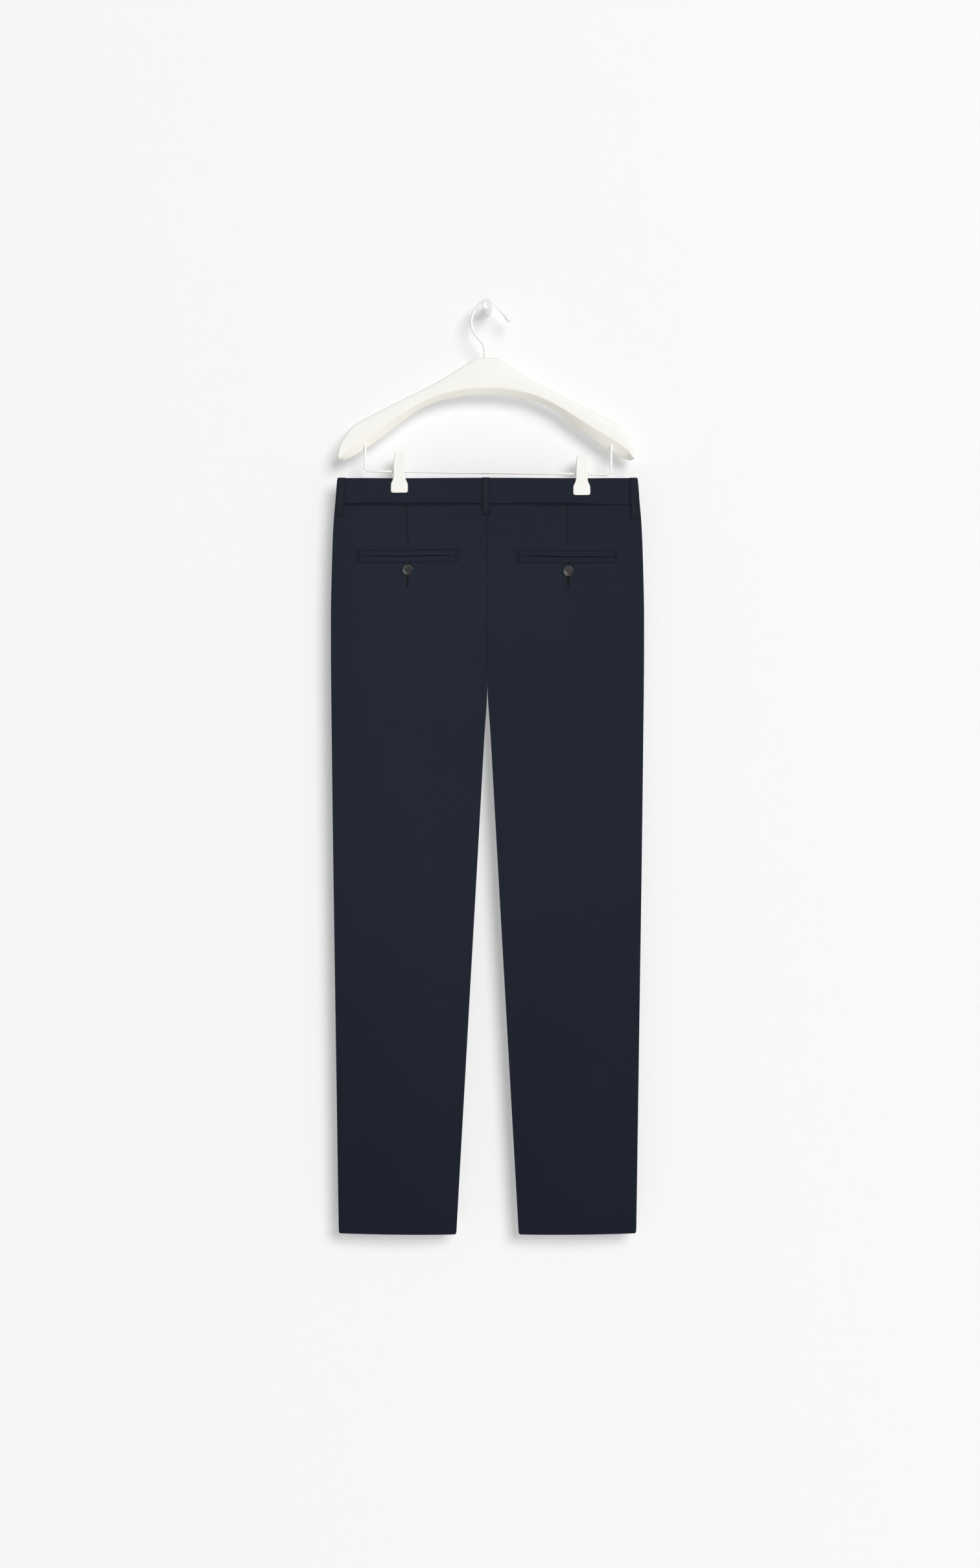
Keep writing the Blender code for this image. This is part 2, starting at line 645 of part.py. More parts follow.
def main():
    clear_scene()
    for side, side_name in ((LEFT, "left"), (RIGHT, "right")):
        make_panel(f"back_panel_{side_name}", BACK, side)
        make_panel(f"front_panel_{side_name}", FRONT, side)
        make_band(f"waistband_{side_name}", side)
        make_pocket_edge(side, side_name)
    for pocket, side_name in zip(POCKETS, ("left", "right")):
        make_welts(pocket, side_name)
        x, z = pocket.button_x, pocket.button_z
        make_button(f"back_button_{side_name}", x, seat_of_button(panel_point, BACK, x, z), z,
                    BACK, BUTTON_RADIUS)
    for loop in LOOPS:
        make_loop(loop)
    make_fly()
    x, z = WAIST_BUTTON
    lap = BAND_WALL + SEAM_GAP
    seat = seat_of_button(band_point, FRONT, x, z) + lap
    make_button("waist_button", x, seat, z, FRONT, WAIST_BUTTON_RADIUS)
    make_hanger_body()
    make_hook()
    make_clip_bar()
    for x, side_name in zip(CLIP_X, ("left", "right")):
        make_clip(x, side_name)
    make_peg()


main()
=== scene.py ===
"""Navy chino trousers hung from a clip hanger on a wall peg: the finished surfaces.

Laid out as an add-on, and run as a script. Lengths in the tables are millimetres
in the part's own frame; meshes are made in metres. The trousers' backs face -Y,
the wall is the plane y = 0 and the wearer's left leg is at -X.
"""
import json
import math
from collections import namedtuple
from functools import partial

import bpy
import numpy as np
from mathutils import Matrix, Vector

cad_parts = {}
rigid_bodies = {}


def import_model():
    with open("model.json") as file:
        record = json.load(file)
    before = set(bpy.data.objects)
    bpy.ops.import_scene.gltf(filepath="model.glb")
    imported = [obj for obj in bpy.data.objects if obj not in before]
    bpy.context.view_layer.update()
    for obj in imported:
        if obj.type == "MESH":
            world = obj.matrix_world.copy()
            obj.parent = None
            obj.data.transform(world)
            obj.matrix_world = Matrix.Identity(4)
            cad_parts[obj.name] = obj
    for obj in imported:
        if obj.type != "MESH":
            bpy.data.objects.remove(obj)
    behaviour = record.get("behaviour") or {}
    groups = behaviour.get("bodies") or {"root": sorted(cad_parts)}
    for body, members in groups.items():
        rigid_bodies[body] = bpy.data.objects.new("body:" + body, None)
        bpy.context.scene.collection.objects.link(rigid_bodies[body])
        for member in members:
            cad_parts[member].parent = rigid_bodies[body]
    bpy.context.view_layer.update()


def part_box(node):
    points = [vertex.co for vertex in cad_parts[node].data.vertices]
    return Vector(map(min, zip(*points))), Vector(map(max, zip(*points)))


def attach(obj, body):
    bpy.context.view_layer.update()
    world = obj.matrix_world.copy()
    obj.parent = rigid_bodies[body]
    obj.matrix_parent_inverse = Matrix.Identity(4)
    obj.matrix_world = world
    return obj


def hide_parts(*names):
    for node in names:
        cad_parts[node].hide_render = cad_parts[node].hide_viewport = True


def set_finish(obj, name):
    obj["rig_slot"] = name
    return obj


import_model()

bl_info = {
    "name": "Chino trousers on a clip hanger",
    "version": (1, 0, 0),
    "blender": (4, 5, 0),
    "location": "3D View > Sidebar > Chinos",
    "description": "Builds the cloth, trims, hanger and stage of a pair of hung chino trousers",
    "category": "Object",
}

MM = 0.001
BACK, FRONT = -1, 1
LEFT, RIGHT = -1, 1
SIDES = {"left": LEFT, "right": RIGHT}


def node_box(name):
    """A node's lowest and highest corners, in millimetres."""
    low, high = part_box(name)
    return Vector(low) / MM, Vector(high) / MM


# ---------------------------------------------------------------- sizes read from the frame

HOOK_LOW, HOOK_HIGH = node_box("hanger_hook")
BAND_LOW, BAND_HIGH = node_box("waistband_right")
HANG_Y = (HOOK_LOW.y + HOOK_HIGH.y) / 2
BAND_TOP, BAND_BOTTOM = BAND_HIGH.z, BAND_LOW.z
HEM = node_box("back_panel_left")[0].z
CLIP_X = [sum(corner.x for corner in node_box(f"clip_jaw_near_{s}")) / 2 for s in SIDES]

# ---------------------------------------------------------------- cloth sizes

SEAM_GAP = 0.3
VISIBLE_GAP = 0.005      # half the slit left at a sewn seam
TUCK = 0.75              # how far a panel's top goes up inside the waistband's seam
PANEL_WIDE = 218.0
WALL = 1.3
HEM_WALL = 2.4
HEM_DEPTH = 20.0
HEM_SLOPE = 1.6          # the hems are a little higher at the side seam
HEM_CORNER = 3.4
FRONT_SEAM_LIFT = 1.2    # the waistband seam curves up between its ends in front
BAND_WALL = 2.0
EDGE_SQUARE = 0.32       # the waistband's lower edge is nearly square
BAND_HALF_TOP = 210.4
BAND_HALF_BOTTOM = BAND_HIGH.x
BAND_END_RADIUS = 4.0
BAND_TONGUE = node_box("waistband_left")[1].x
PINCH_HALF = 14.0
PINCH_FADE = 34.0        # beyond a clip, the band opens to its rounded end over this
BAND_BOW = 5.6           # and between the clips by this much
LAP_FROM = -10.0         # where the left half starts to rise over the right one in front
LAP_RUN = 9.0
FRONT_SHARE = 0.88       # the front lies a little flatter than the seat
RELIEF_FADE = 26.0       # the creases fade out this near a panel's edges
GRID_MM = 3.0            # spacing of the cloth's mesh
BAND_GRID = 2.5

# Points (x, lift) of the back's waistband seam over its straight line, from left to right.
BACK_SEAM = (
    (-213, 0), (-197, 0.2), (-157, 2.1), (-48, 2), (-20, 0.8), (0, 0.2), (24, 0.1),
    (50, 1.3), (84, 2.1), (118, 1.4), (145, 0.2), (172, -0.7), (213, -1.8),
)

Section = namedtuple("Section", "height outer inner depth pinch centre roll")
SECTIONS = [Section(*row) for row in (
    (-276.5, 213.2, 0, 9, 1, 1, 11),
    (-298, 215.1, 0, 10, 0.85, 1, 18),
    (-325, 216.5, 0, 11.5, 0.60, 1, 32),
    (-352, 217.4, 0, 13, 0.38, 1, 46),
    (-385, 218.3, 0, 14.5, 0.18, 0.98, 60),
    (-433, 219.1, 0, 15.5, 0, 0.88, 72),
    (-480, 219.1, 0, 15.5, 0, 0.60, 82),
    (-527.5, 218.8, 0, 15, 0, 0, 92),
    (-600, 218, 4.2, 14, 0, 0, 96),
    (-750, 216.2, 12.6, 12.5, 0, 0, 96),
    (-930, 213.6, 22.8, 11.5, 0, 0, 92),
    (-1110, 210.9, 33, 10.5, 0, 0, 88),
    (-1277.5, 208.4, 42.5, 10, 0, 0, 84),
    (-1297.5, 208, 43.6, 10, 0, 0, 82),
)]
PANEL_TOP = SECTIONS[0].height

# Soft creases: where, how long and wide, the lean from upright in degrees, and
# the height of the ridge (negative is a trough).
Crease = namedtuple("Crease", "facing x z length width lean height")
CREASES = [Crease(BACK, *row) for row in (
    # below the waistband and round the pockets
    (-152, -318, 62, 9, 12, 0.55), (-96, -312, 48, 8, -9, -0.45), (104, -314, 52, 8, 8, -0.45),
    (160, -322, 66, 10, -11, 0.50), (-58, -322, 40, 7, 4, 0.30),
    # seat, drawing towards the fork
    (-34, -486, 120, 15, -24, -0.75), (40, -478, 132, 16, 21, -0.70),
    (-72, -446, 150, 22, -30, 0.60), (84, -452, 140, 20, 33, 0.55), (-150, -430, 150, 26, 8, 0.70),
    (158, -424, 140, 26, -7, 0.65),
    # left leg
    (-122, -640, 230, 20, 3, 0.70), (-72, -610, 150, 15, -8, -0.80),
    (-182, -655, 160, 13, 5, -0.80), (-150, -830, 250, 24, -3, 0.75),
    (-84, -870, 190, 18, 5, -0.75), (-188, -905, 180, 14, -4, 0.50),
    (-112, -1065, 260, 22, 2, 0.65), (-166, -1120, 190, 17, -5, -0.60),
    (-78, -1180, 150, 14, 6, -0.55),
    # right leg
    (116, -655, 250, 22, -2, 0.70), (66, -625, 170, 14, 7, -0.75), (176, -690, 190, 16, -6, -0.70),
    (148, -860, 220, 22, 4, 0.65), (88, -900, 210, 19, -4, -0.80), (192, -960, 160, 13, 3, 0.45),
    (124, -1090, 240, 21, -3, 0.60), (168, -1155, 170, 15, 5, -0.55),
    (80, -1160, 170, 15, -6, -0.60),
)] + [Crease(FRONT, *row) for row in (
    (-60, -350, 90, 12, -14, 0.60), (62, -356, 84, 12, 13, 0.55), (-30, -470, 110, 14, -26, -0.70),
    (34, -474, 120, 14, 24, -0.75), (-126, -420, 150, 24, 6, 0.65), (130, -430, 160, 25, -8, 0.60),
    (-118, -650, 240, 21, -3, 0.70), (-70, -700, 180, 16, 6, -0.70),
    (-172, -760, 200, 17, -5, -0.60), (-138, -940, 230, 22, 4, 0.65),
    (-90, -1100, 210, 18, -4, -0.65), (112, -670, 240, 20, 4, 0.70),
    (168, -720, 180, 16, -5, -0.65), (70, -770, 190, 16, 6, -0.60), (142, -950, 240, 23, -4, 0.65),
    (96, -1120, 200, 18, 5, -0.60),
)]

Dart = namedtuple("Dart", "top_x foot_x foot_z")
DARTS = (Dart(-113.9, -110.6, -340.2), Dart(110.9, 111.8, -341.8))

# The length is that of the loop's cut, in metres; the rest is in millimetres.
Loop = namedtuple("Loop", "node facing top_x foot_x foot length rests_on")
LOOPS = (
    Loop("belt_loop_centre_back", BACK, -2.4, -1.9, -292.3, 0.054, "waistband_left"),
    Loop("belt_loop_side_left", BACK, -204.0, -206.6, -293.4, 0.054, "waistband_left"),
    Loop("belt_loop_side_right", BACK, 204.0, 206.3, -297.9, 0.058, "waistband_right"),
    Loop("belt_loop_front_left", FRONT, -82.0, -82.0, -294.0, 0.055, "waistband_left"),
    Loop("belt_loop_front_right", FRONT, 84.0, 84.0, -294.0, 0.055, "waistband_right"),
)
LOOP_WIDTH = 11.0
LOOP_WALL = 1.2
LOOP_BOW = 2.2

Pocket = namedtuple("Pocket", "name side near far mouth button_x button_z hole_top hole_foot")
POCKETS = (
    Pocket("left", LEFT, 41.5, 181.2, -349.7, -111.9, -369.2, 1.5, 1.3),
    Pocket("right", RIGHT, 41.2, 180.2, -350.6, 112.5, -370.8, 2.7, 0.9),
)
WELT_HEIGHT = 7.6
WELT_RISE = 0.40
WELT_ROLL = 0.75         # how much the welts swell at the mouth
POCKET_DROP = 1.2        # how much lower a pocket is at its side end
MOUTH_HALF = 0.55
WELT_STEPS = (0.0, 0.03, 0.08, 0.14, 0.22, 0.34, 0.48, 0.62, 0.76, 0.88, 0.95, 1.0)
WELT_DITCH = 0.42        # depth of the ditch round the welts; a sewn line this deep gets 55% painted shade in the cloth's colour
STITCH_OFF = 1.2         # how far the pocket's rows of stitches stand off its welts
STITCH_OVER = 0.4        # and how far they run on past its ends
POCKET_TACK_IN = 2.6     # how far the end tacks stand in from a pocket's ends
BUTTONHOLE_TOP = 9.0     # below the button's centre
BUTTONHOLE_LENGTH = 15.5

POCKET_SLANT = ((172.0, -277.5), (205.0, -432.0))
POCKET_EDGE_WIDTH = 7.0
FLY_WIDTH = 38.0
FLY_FOOT = -446.0
FLY_STITCH_IN = 5.0

# Rows of stitches: spacing, length, how far they lie off the panel, and how uneven they are.
Row = namedtuple("Row", "pitch length lift jitter seed")
POCKET_ROW = Row(2.3, 1.35, 0.02, 0.08, 8)
POCKET_END_ROW = Row(2.3, 1.35, 0.02, 0.0, 3)
FRONT_POCKET_ROW = Row(3.2, 2.3, 0.55, 0.06, 4)
FLY_ROW = Row(3.0, 2.2, 0.62, 0.05, 6)
HEM_ROW = {facing: Row(7.0, 0.6, 0.0, 0.5, 15 + facing) for facing in (BACK, FRONT)}

# Radii of the sewn threads.
ROW_THREAD = 0.22
TACK_THREAD = 0.2
HEM_THREAD = 0.12
HOLE_THREAD = 0.27
BUTTON_THREAD = 0.24
HOLE_PITCH = 0.36        # between the threads across a buttonhole

# ---------------------------------------------------------------- hanger sizes

Arm = namedtuple("Arm", "top_x top_z low_x low_z undercut")
ARM = [Arm(*row) for row in (
    (0, -72.8, 0, -123.2, 9.2),
    (14.5, -73, 13, -123.4, 9.2),
    (24, -78.5, 24, -124, 9),
    (42.1, -90.2, 40, -126, 8.5),
    (75.1, -109.6, 66, -131.5, 7.2),
    (120.9, -132.4, 98, -146.5, 8),
    (164.3, -154.6, 140, -178, 12),
    (187.8, -169, 166, -196.8, 14.8),
    (202.2, -188.5, 187, -209.5, 13),
    (206.3, -199, 194.6, -212.9, 9.2),
    (207.8, -206, 200.4, -215, 5.5),
    (207.4, -210.2, 204.2, -214.2, 2.4),
)]
HANGER_X = -1.5
HANGER_HALF_THICK = 6.5
TIP_DOME = 1.3

HOOK_X = -4.2
HOOK_ROUTE = (
    (HOOK_X, -84.0), (HOOK_X, -70.0), (HOOK_X, -57.5), (-7.6, -50.2), (-14.6, -41.8),
    (-20.4, -32.6), (-22.6, -22.8), (-21.2, -12.4), (-16.4, -2.4), (-8.6, 5.9),
    (0.6, 9.5), (9.8, 4.0), (18.6, -5.8), (26.6, -14.6), (32.6, -21.0),
)
HOOK_RADIUS = 1.8
HOOK_BULB = 0.85         # how much thicker the hook's tip is
HOOK_BULB_FROM = 17.0    # where the wire starts to swell, back from its tip
HOOK_BULB_RUN = 12.0     # and how far on it has its full thickness
HOOK_END = 2.6           # length of the tip's rounded end
BAR_RADIUS = 1.7
BAR_LEFT = (-171.1, -230.2)
BAR_RIGHT = (172.9, -234.5)
BAR_SOCKET_TOP = -183.0
BAR_BEND = 6.0

Jaw = namedtuple("Jaw", "rise half_width inside thick")
JAW = [Jaw(*row) for row in (
    (25.9, 2.6, 8.5, 1.2), (25.5, 4.8, 8.4, 1.9), (24.2, 6.4, 8, 2.4), (22, 7.2, 7.7, 2.6),
    (10, 7.8, 6.2, 2.6), (0, 8.2, 4.9, 2.8), (-7.5, 8.3, 3.9, 2.8), (-11.5, 9.1, 3.1, 2.8),
    (-15.5, 11, 2.6, 2.7), (-18.5, 11.8, 2.5, 2.6), (-26.8, 11.9, 2.5, 2.4),
    (-29, 11, 2.5, 2.2), (-29.8, 9.2, 2.6, 1.6),
)]
BARREL_RADIUS = 4.5
BARREL_HALF = 6.0
PEG_RADIUS = 7.15
PEG_LENGTH = 50.0
HOLE_SPREAD = 1.36       # a button's holes, sideways and upright from its middle
HOLE_RADIUS = 0.66
BUTTON_DISH = 1.0        # how far a button's middle lies below its rim

# ---------------------------------------------------------------- stage sizes, in metres

WALL_Y = 0.0006
WALL_TOP = 4.5
FLOOR_Z = -2.35
STAGE_REACH = 9.0
WORLD_STRENGTH = 0.12
CAMERA_X = 0.0035
CAMERA_LENS = 62.46
CAMERA_SENSOR = 36.0
SPOT_SOFTNESS = 0.35

# size is a disc's diameter, or a spot's spread in degrees.
Lamp = namedtuple("Lamp", "name kind place aim size power lights")
LAMPS = (
    Lamp("key", "AREA", (7.4, -17.9, 6.6), (0, 0, -0.7), 11.2, 3450, "everything"),
    Lamp("front fill", "AREA", (-0.2, -3.6, -3.4), (0, 0, -0.5), 3, 50, "object"),
    Lamp("rear fill", "AREA", (0, 3.6, -0.6), (0, 0, -0.6), 1.6, 40, "cloth"),
    Lamp("hip light", "SPOT", (-0.3, -2.6, 0.25), (-0.04, 0, -0.48), 34, 218, "cloth"),
    Lamp("left leg light", "SPOT", (-1.3, -2.6, -0.9), (-0.14, 0, -0.98), 24, 34, "cloth"),
)
CLOTH_SLOTS = ("navy_twill",)
OBJECT_SLOTS = CLOTH_SLOTS + ("horn", "white_plastic", "white_wire", "peg")


# ---------------------------------------------------------------- settings

def colour_setting(name, text, value):
    return bpy.props.FloatVectorProperty(name=name, description=text, subtype="COLOR", size=3,
                                         default=value, min=0.0, max=1.0)


def length_setting(name, text, value, low, high):
    return bpy.props.FloatProperty(name=name, description=text, default=value, min=low, max=high,
                                   subtype="DISTANCE", unit="LENGTH")


def share_setting(name, text, value, high=1.0):
    return bpy.props.FloatProperty(name=name, description=text, default=value, min=0.0, max=high,
                                   subtype="FACTOR")


class ChinoClothSettings(bpy.types.PropertyGroup):
    twill: colour_setting("Twill", "Colour of the navy cotton twill", (0.0053, 0.0074, 0.0143))
    loops: colour_setting("Loops", "Colour of the belt loops", (0.0057, 0.0078, 0.0132))
    thread: colour_setting("Thread", "Colour of the sewing thread", (0.0040, 0.0055, 0.0100))
    twist: colour_setting("Twist", "Colour of the buttonholes' thread", (0.0030, 0.0027, 0.0028))
    twill_pitch: length_setting("Twill pitch", "Spacing of the twill's diagonal ribs",
                                0.00062, 0.0002, 0.003)
    crease: share_setting("Crease", "Strength of the soft creases", 1.0, high=3.0)


class ChinoTrimSettings(bpy.types.PropertyGroup):
    horn: colour_setting("Horn", "Main colour of the horn buttons", (0.0105, 0.0105, 0.0098))
    horn_light: colour_setting("Horn streaks", "Pale streaks in the horn", (0.048, 0.046, 0.042))
    button: length_setting("Button", "Diameter of the back pockets' buttons", 0.0154, 0.008, 0.03)
    waist_button: length_setting("Waist button", "Diameter of the waist button",
                                 0.017, 0.008, 0.03)


class ChinoHangerSettings(bpy.types.PropertyGroup):
    moulding: colour_setting("Moulding", "Colour of the moulded hanger", (0.85, 0.842, 0.805))
    wire: colour_setting("Wire", "Colour of the coated wire", (0.88, 0.88, 0.855))
    peg: colour_setting("Peg", "Colour of the wall peg", (0.80, 0.80, 0.79))


class ChinoStageSettings(bpy.types.PropertyGroup):
    wall: share_setting("Wall", "Paleness of the wall and floor", 0.64)
    wall_glow: share_setting("Wall glow", "Even light that the wall gives of itself", 0.34)
    camera_distance: length_setting("Camera distance", "From the wall to the camera",
                                    3.84, 0.5, 20.0)
    camera_height: length_setting("Camera height", "Height of the camera from the peg",
                                  -0.668, -3.0, 3.0)


# ---------------------------------------------------------------- curves and rows

def circle(count):
    """Angles evenly round a circle."""
    return np.linspace(0, 2 * math.pi, count, endpoint=False)


def smooth(t):
    t = np.clip(t, 0.0, 1.0)
    return t * t * (3.0 - 2.0 * t)


def rise(t):
    """0 at an edge, 1 and level from t = 1 on."""
    return 1.0 - (1.0 - np.clip(t, 0.0, 1.0)) ** 2.2


def eased(heights, values, z):
    """A curve through a table's values that never overshoots them."""
    slopes = [(v1 - v0) / (h1 - h0) for h0, h1, v0, v1
              in zip(heights, heights[1:], values, values[1:])]
    tangents = [slopes[0]]
    for a, b in zip(slopes, slopes[1:]):
        tangents.append(2 * a * b / (a + b) if a * b > 0 else 0.0)
    tangents.append(slopes[-1])
    for i in range(len(slopes)):
        if z >= heights[i + 1] or i == len(slopes) - 1:
            span = heights[i + 1] - heights[i]
            t = (z - heights[i]) / span
            return ((2 * t ** 3 - 3 * t * t + 1) * values[i]
                    + (t ** 3 - 2 * t * t + t) * span * tangents[i]
                    + (3 * t * t - 2 * t ** 3) * values[i + 1]
                    + (t ** 3 - t * t) * span * tangents[i + 1])


def through(points, per_span):
    """A smooth curve through points of any dimension, ends included."""
    points = np.asarray(points, dtype=float)
    knots = np.vstack([2 * points[0] - points[1], points, 2 * points[-1] - points[-2]])
    curve = []
    for p0, p1, p2, p3 in zip(knots, knots[1:], knots[2:], knots[3:]):
        for t in np.arange(per_span) / per_span:
            curve.append(0.5 * (2 * p1 + (p2 - p0) * t + (2 * p0 - 5 * p1 + 4 * p2 - p3) * t * t
                                + (3 * p1 - p0 - 3 * p2 + p3) * t ** 3))
    curve.append(points[-1])
    return np.array(curve)


HEIGHTS = [row.height for row in SECTIONS]
FINE_HEIGHTS = np.arange(HEIGHTS[-1], HEIGHTS[0] + 0.5, 0.5)
FINE = {field: np.array([eased(HEIGHTS, [getattr(row, field) for row in SECTIONS], z)
                         for z in FINE_HEIGHTS])
        for field in Section._fields[1:]}


def at_height(field, z):
    """One column of the section table at any heights."""
    return np.interp(z, FINE_HEIGHTS, FINE[field])


# ---------------------------------------------------------------- the cloth's form

def waves(x, z, seed, longest, shortest, count=7):
    """Soft undulation between about -1 and 1, the same on each run."""
    rng = np.random.default_rng(seed)
    total = np.zeros(np.broadcast(x, z).shape)
    for _ in range(count):
        span = shortest * (longest / shortest) ** rng.random()
        lean = rng.uniform(-0.6, 0.6)
        phase = rng.uniform(0, 2 * math.pi)
        total += np.sin((x * math.cos(lean) + 0.42 * z * math.sin(lean + 0.5)) * 2 * math.pi / span
                        + phase)
    return total / count ** 0.5 / 1.4


def waist_depth(x):
    """Half depth of the waistband: pinched at the clips, bowed open between."""
    shut = BAND_WALL + SEAM_GAP / 2
    left, right = CLIP_X[0] + PINCH_HALF, CLIP_X[1] - PINCH_HALF
    between = np.clip((x - left) / (right - left), 0.0, 1.0)
    beyond = np.maximum(CLIP_X[0] - PINCH_HALF - x, x - CLIP_X[1] - PINCH_HALF)
    return (shut + BAND_BOW * np.sin(math.pi * between) ** 1.3
            + (BAND_END_RADIUS - shut) * smooth(beyond / PINCH_FADE))


def seam_lift(facing, x):
    """How far the waistband's seam runs above its straight line."""
    if facing == FRONT:
        return FRONT_SEAM_LIFT * np.sin(math.pi * np.clip(np.abs(x) / BAND_HALF_BOTTOM, 0, 1)) ** 2
    xs, lifts = (np.array(column) for column in zip(*BACK_SEAM))
    left = np.clip(np.searchsorted(xs, x) - 1, 0, len(xs) - 2)
    share = smooth((x - xs[left]) / (xs[left + 1] - xs[left]))
    return lifts[left] + (lifts[left + 1] - lifts[left]) * share


def form_relief(facing, x, z, strength):
    """Creases and soft undulation, which move the whole thickness of the cloth."""
    total = 0.42 * waves(x, z, 31 + facing, 210.0, 70.0)
    total = total + 0.16 * waves(x, z, 57 + facing, 60.0, 26.0)
    for crease in CREASES:
        if crease.facing != facing:
            continue
        lean = math.radians(crease.lean)
        dx, dz = x - crease.x, z - crease.z
        along = (dx * math.sin(lean) + dz * math.cos(lean)) / (crease.length / 2)
        across = (dx * math.cos(lean) - dz * math.sin(lean)) / crease.width
        across = across + 0.35 * along * along
        fade = np.clip(1.0 - along * along, 0.0, 1.0) ** 2
        total = total + crease.height * fade * np.exp(-across * across)
    return total * strength


def dart_place(dart, z):
    """How far down a dart a height is, 1 at its foot, and the dart's x there."""
    t = (PANEL_TOP - z) / (PANEL_TOP - dart.foot_z)
    return t, dart.top_x + (dart.foot_x - dart.top_x) * t


def round_pocket(pocket, x, z):
    """Distances from a pocket: beside its ends, off its mouth and away from its welts."""
    ends = sorted((pocket.side * pocket.near, pocket.side * pocket.far))
    beside = np.maximum(np.maximum(ends[0] - x, x - ends[1]), 0.0)
    off = np.abs(z - pocket_mouth(pocket, x))
    return beside, off, np.hypot(beside, np.maximum(off - WELT_HEIGHT, 0.0))


def line_at(distance, width, power=2):
    """1 on a line, fading to both sides of it."""
    return np.exp(-(distance / width) ** power)


def sewn_ditches(facing, x, z):
    """Depth of the sewn-in lines: seams, darts, round the pockets, in their mouths. On the panels the
    same depths also set painted shade in the cloth's colour.
    """
    total = 0.75 * line_at(PANEL_TOP - z, 1.3)
    centre = np.clip(at_height("centre", z) * 3, 0, 1)
    total = total + 0.20 * line_at(np.abs(x) - at_height("inner", z), 1.3) * centre
    total = total + 0.10 * line_at(z - HEM - HEM_DEPTH, 0.9)
    if facing == FRONT:
        return total
    for dart in DARTS:
        t, middle = dart_place(dart, z)
        total = total + 0.45 * np.clip((1.05 - t) / 0.25, 0.0, 1.0) * line_at(x - middle, 0.75)
    for pocket in POCKETS:
        beside, off, away = round_pocket(pocket, x, z)
        total = total + WELT_DITCH * line_at(away - 0.5, 0.85)
        total = total + 0.9 * line_at(off, 0.9, 4) * line_at(beside, 0.5)
    return total


def sewn_puckers(x, z):
    """Fine puckers round the pockets, the darts' folds and the pull under each button."""
    total = np.zeros(np.broadcast(x, z).shape)
    for pocket in POCKETS:
        away = round_pocket(pocket, x, z)[2]
        ripple = np.sin(x * 2 * math.pi / 6.3 + 2.2 * np.sin(x / 17.0)) * (0.6 + 0.4 * np.sin(x / 11))
        total = total + 0.13 * ripple * line_at(away, 5.5)
        total = total + 0.28 * line_at(away - 3.4, 2.4)
        total = total - 0.30 * line_at(np.hypot(x - pocket.button_x, z - pocket.button_z), 7.0)
    for dart in DARTS:
        t, middle = dart_place(dart, z)
        fold = line_at(x - middle - 2.6, 1.9)
        total = total + 0.26 * np.clip((1.06 - t) / 0.25, 0.0, 1.0) * fold
    return total


def pocket_mouth(pocket, x):
    """Height of a pocket's mouth, which sags a little towards the side seam."""
    t = (np.abs(x) - pocket.near) / (pocket.far - pocket.near)
    return pocket.mouth + POCKET_DROP * (0.5 - t) + 0.35 * np.sin(np.clip(t, 0, 1) * 9.0)


def mouth_parts(pocket, x):
    """How far the welts part along a pocket's mouth: 1 in the middle, 0 at the end tacks."""
    run = pocket.far - pocket.near - 2 * POCKET_TACK_IN
    t = np.clip((np.abs(x) - pocket.near - POCKET_TACK_IN) / run, 0, 1)
    return np.clip(1.5 * np.sin(np.pi * t) ** 0.8, 0, 1)


def panel_point(facing, x, z, out=0.0, strength=1.0, fine=True):
    """Points on a panel's outer face, moved out along Y by a distance."""
    x, z = np.broadcast_arrays(np.asarray(x, dtype=float), np.asarray(z, dtype=float))
    outer, inner = at_height("outer", z), at_height("inner", z)
    centre, pinch, depth = (at_height(f, z) for f in ("centre", "pinch", "depth"))
    edge = WALL + SEAM_GAP / 2 + (HEM_WALL - WALL) * smooth((HEM + HEM_DEPTH + 1.0 - z) / 3.0)
    side = rise((outer - np.abs(x)) / at_height("roll", z))
    seam = centre + (1 - centre) * rise((np.abs(x) - inner) / ((outer - inner) / 2))
    body = depth * (1 - pinch) + (waist_depth(x) - 0.5) * pinch
    share = 1.0 if facing == BACK else FRONT_SHARE + (1 - FRONT_SHARE) * pinch
    half = np.maximum(edge + (body - edge) * side * seam * share, edge)
    inside_edges = np.clip((outer - np.abs(x)) / RELIEF_FADE, 0, 1) * np.clip(
        (np.abs(x) - inner + 30.0 * centre) / RELIEF_FADE, 0, 1)
    below_band = smooth((PANEL_TOP - z) / RELIEF_FADE)
    half = half + form_relief(facing, x, z, strength) * smooth(inside_edges) * below_band
    if fine:
        half = half - sewn_ditches(facing, x, z) + 0.05 * waves(x, z, 91 + facing, 14.0, 6.0)
        if facing == BACK:
            half = half + sewn_puckers(x, z)
    return np.stack([x, HANG_Y + facing * (half + out), z], axis=-1)


def band_half(z):
    """Half width of the waistband at a height."""
    t = (z - BAND_TOP) / (BAND_BOTTOM - BAND_TOP)
    return BAND_HALF_TOP + (BAND_HALF_BOTTOM - BAND_HALF_TOP) * t


def band_point(facing, x, z, out=0.0):
    """Points on the waistband's outer face, also round its end at the side."""
    x, z = np.broadcast_arrays(np.asarray(x, dtype=float), np.asarray(z, dtype=float))
    over = np.clip(np.abs(x) - (band_half(z) - BAND_END_RADIUS), 0.0, BAND_END_RADIUS)
    depth = np.where(over > 0, np.sqrt(BAND_END_RADIUS ** 2 - over ** 2), waist_depth(x))
    return np.stack([x, HANG_Y + facing * (depth + out), z], axis=-1)


# ---------------------------------------------------------------- meshes

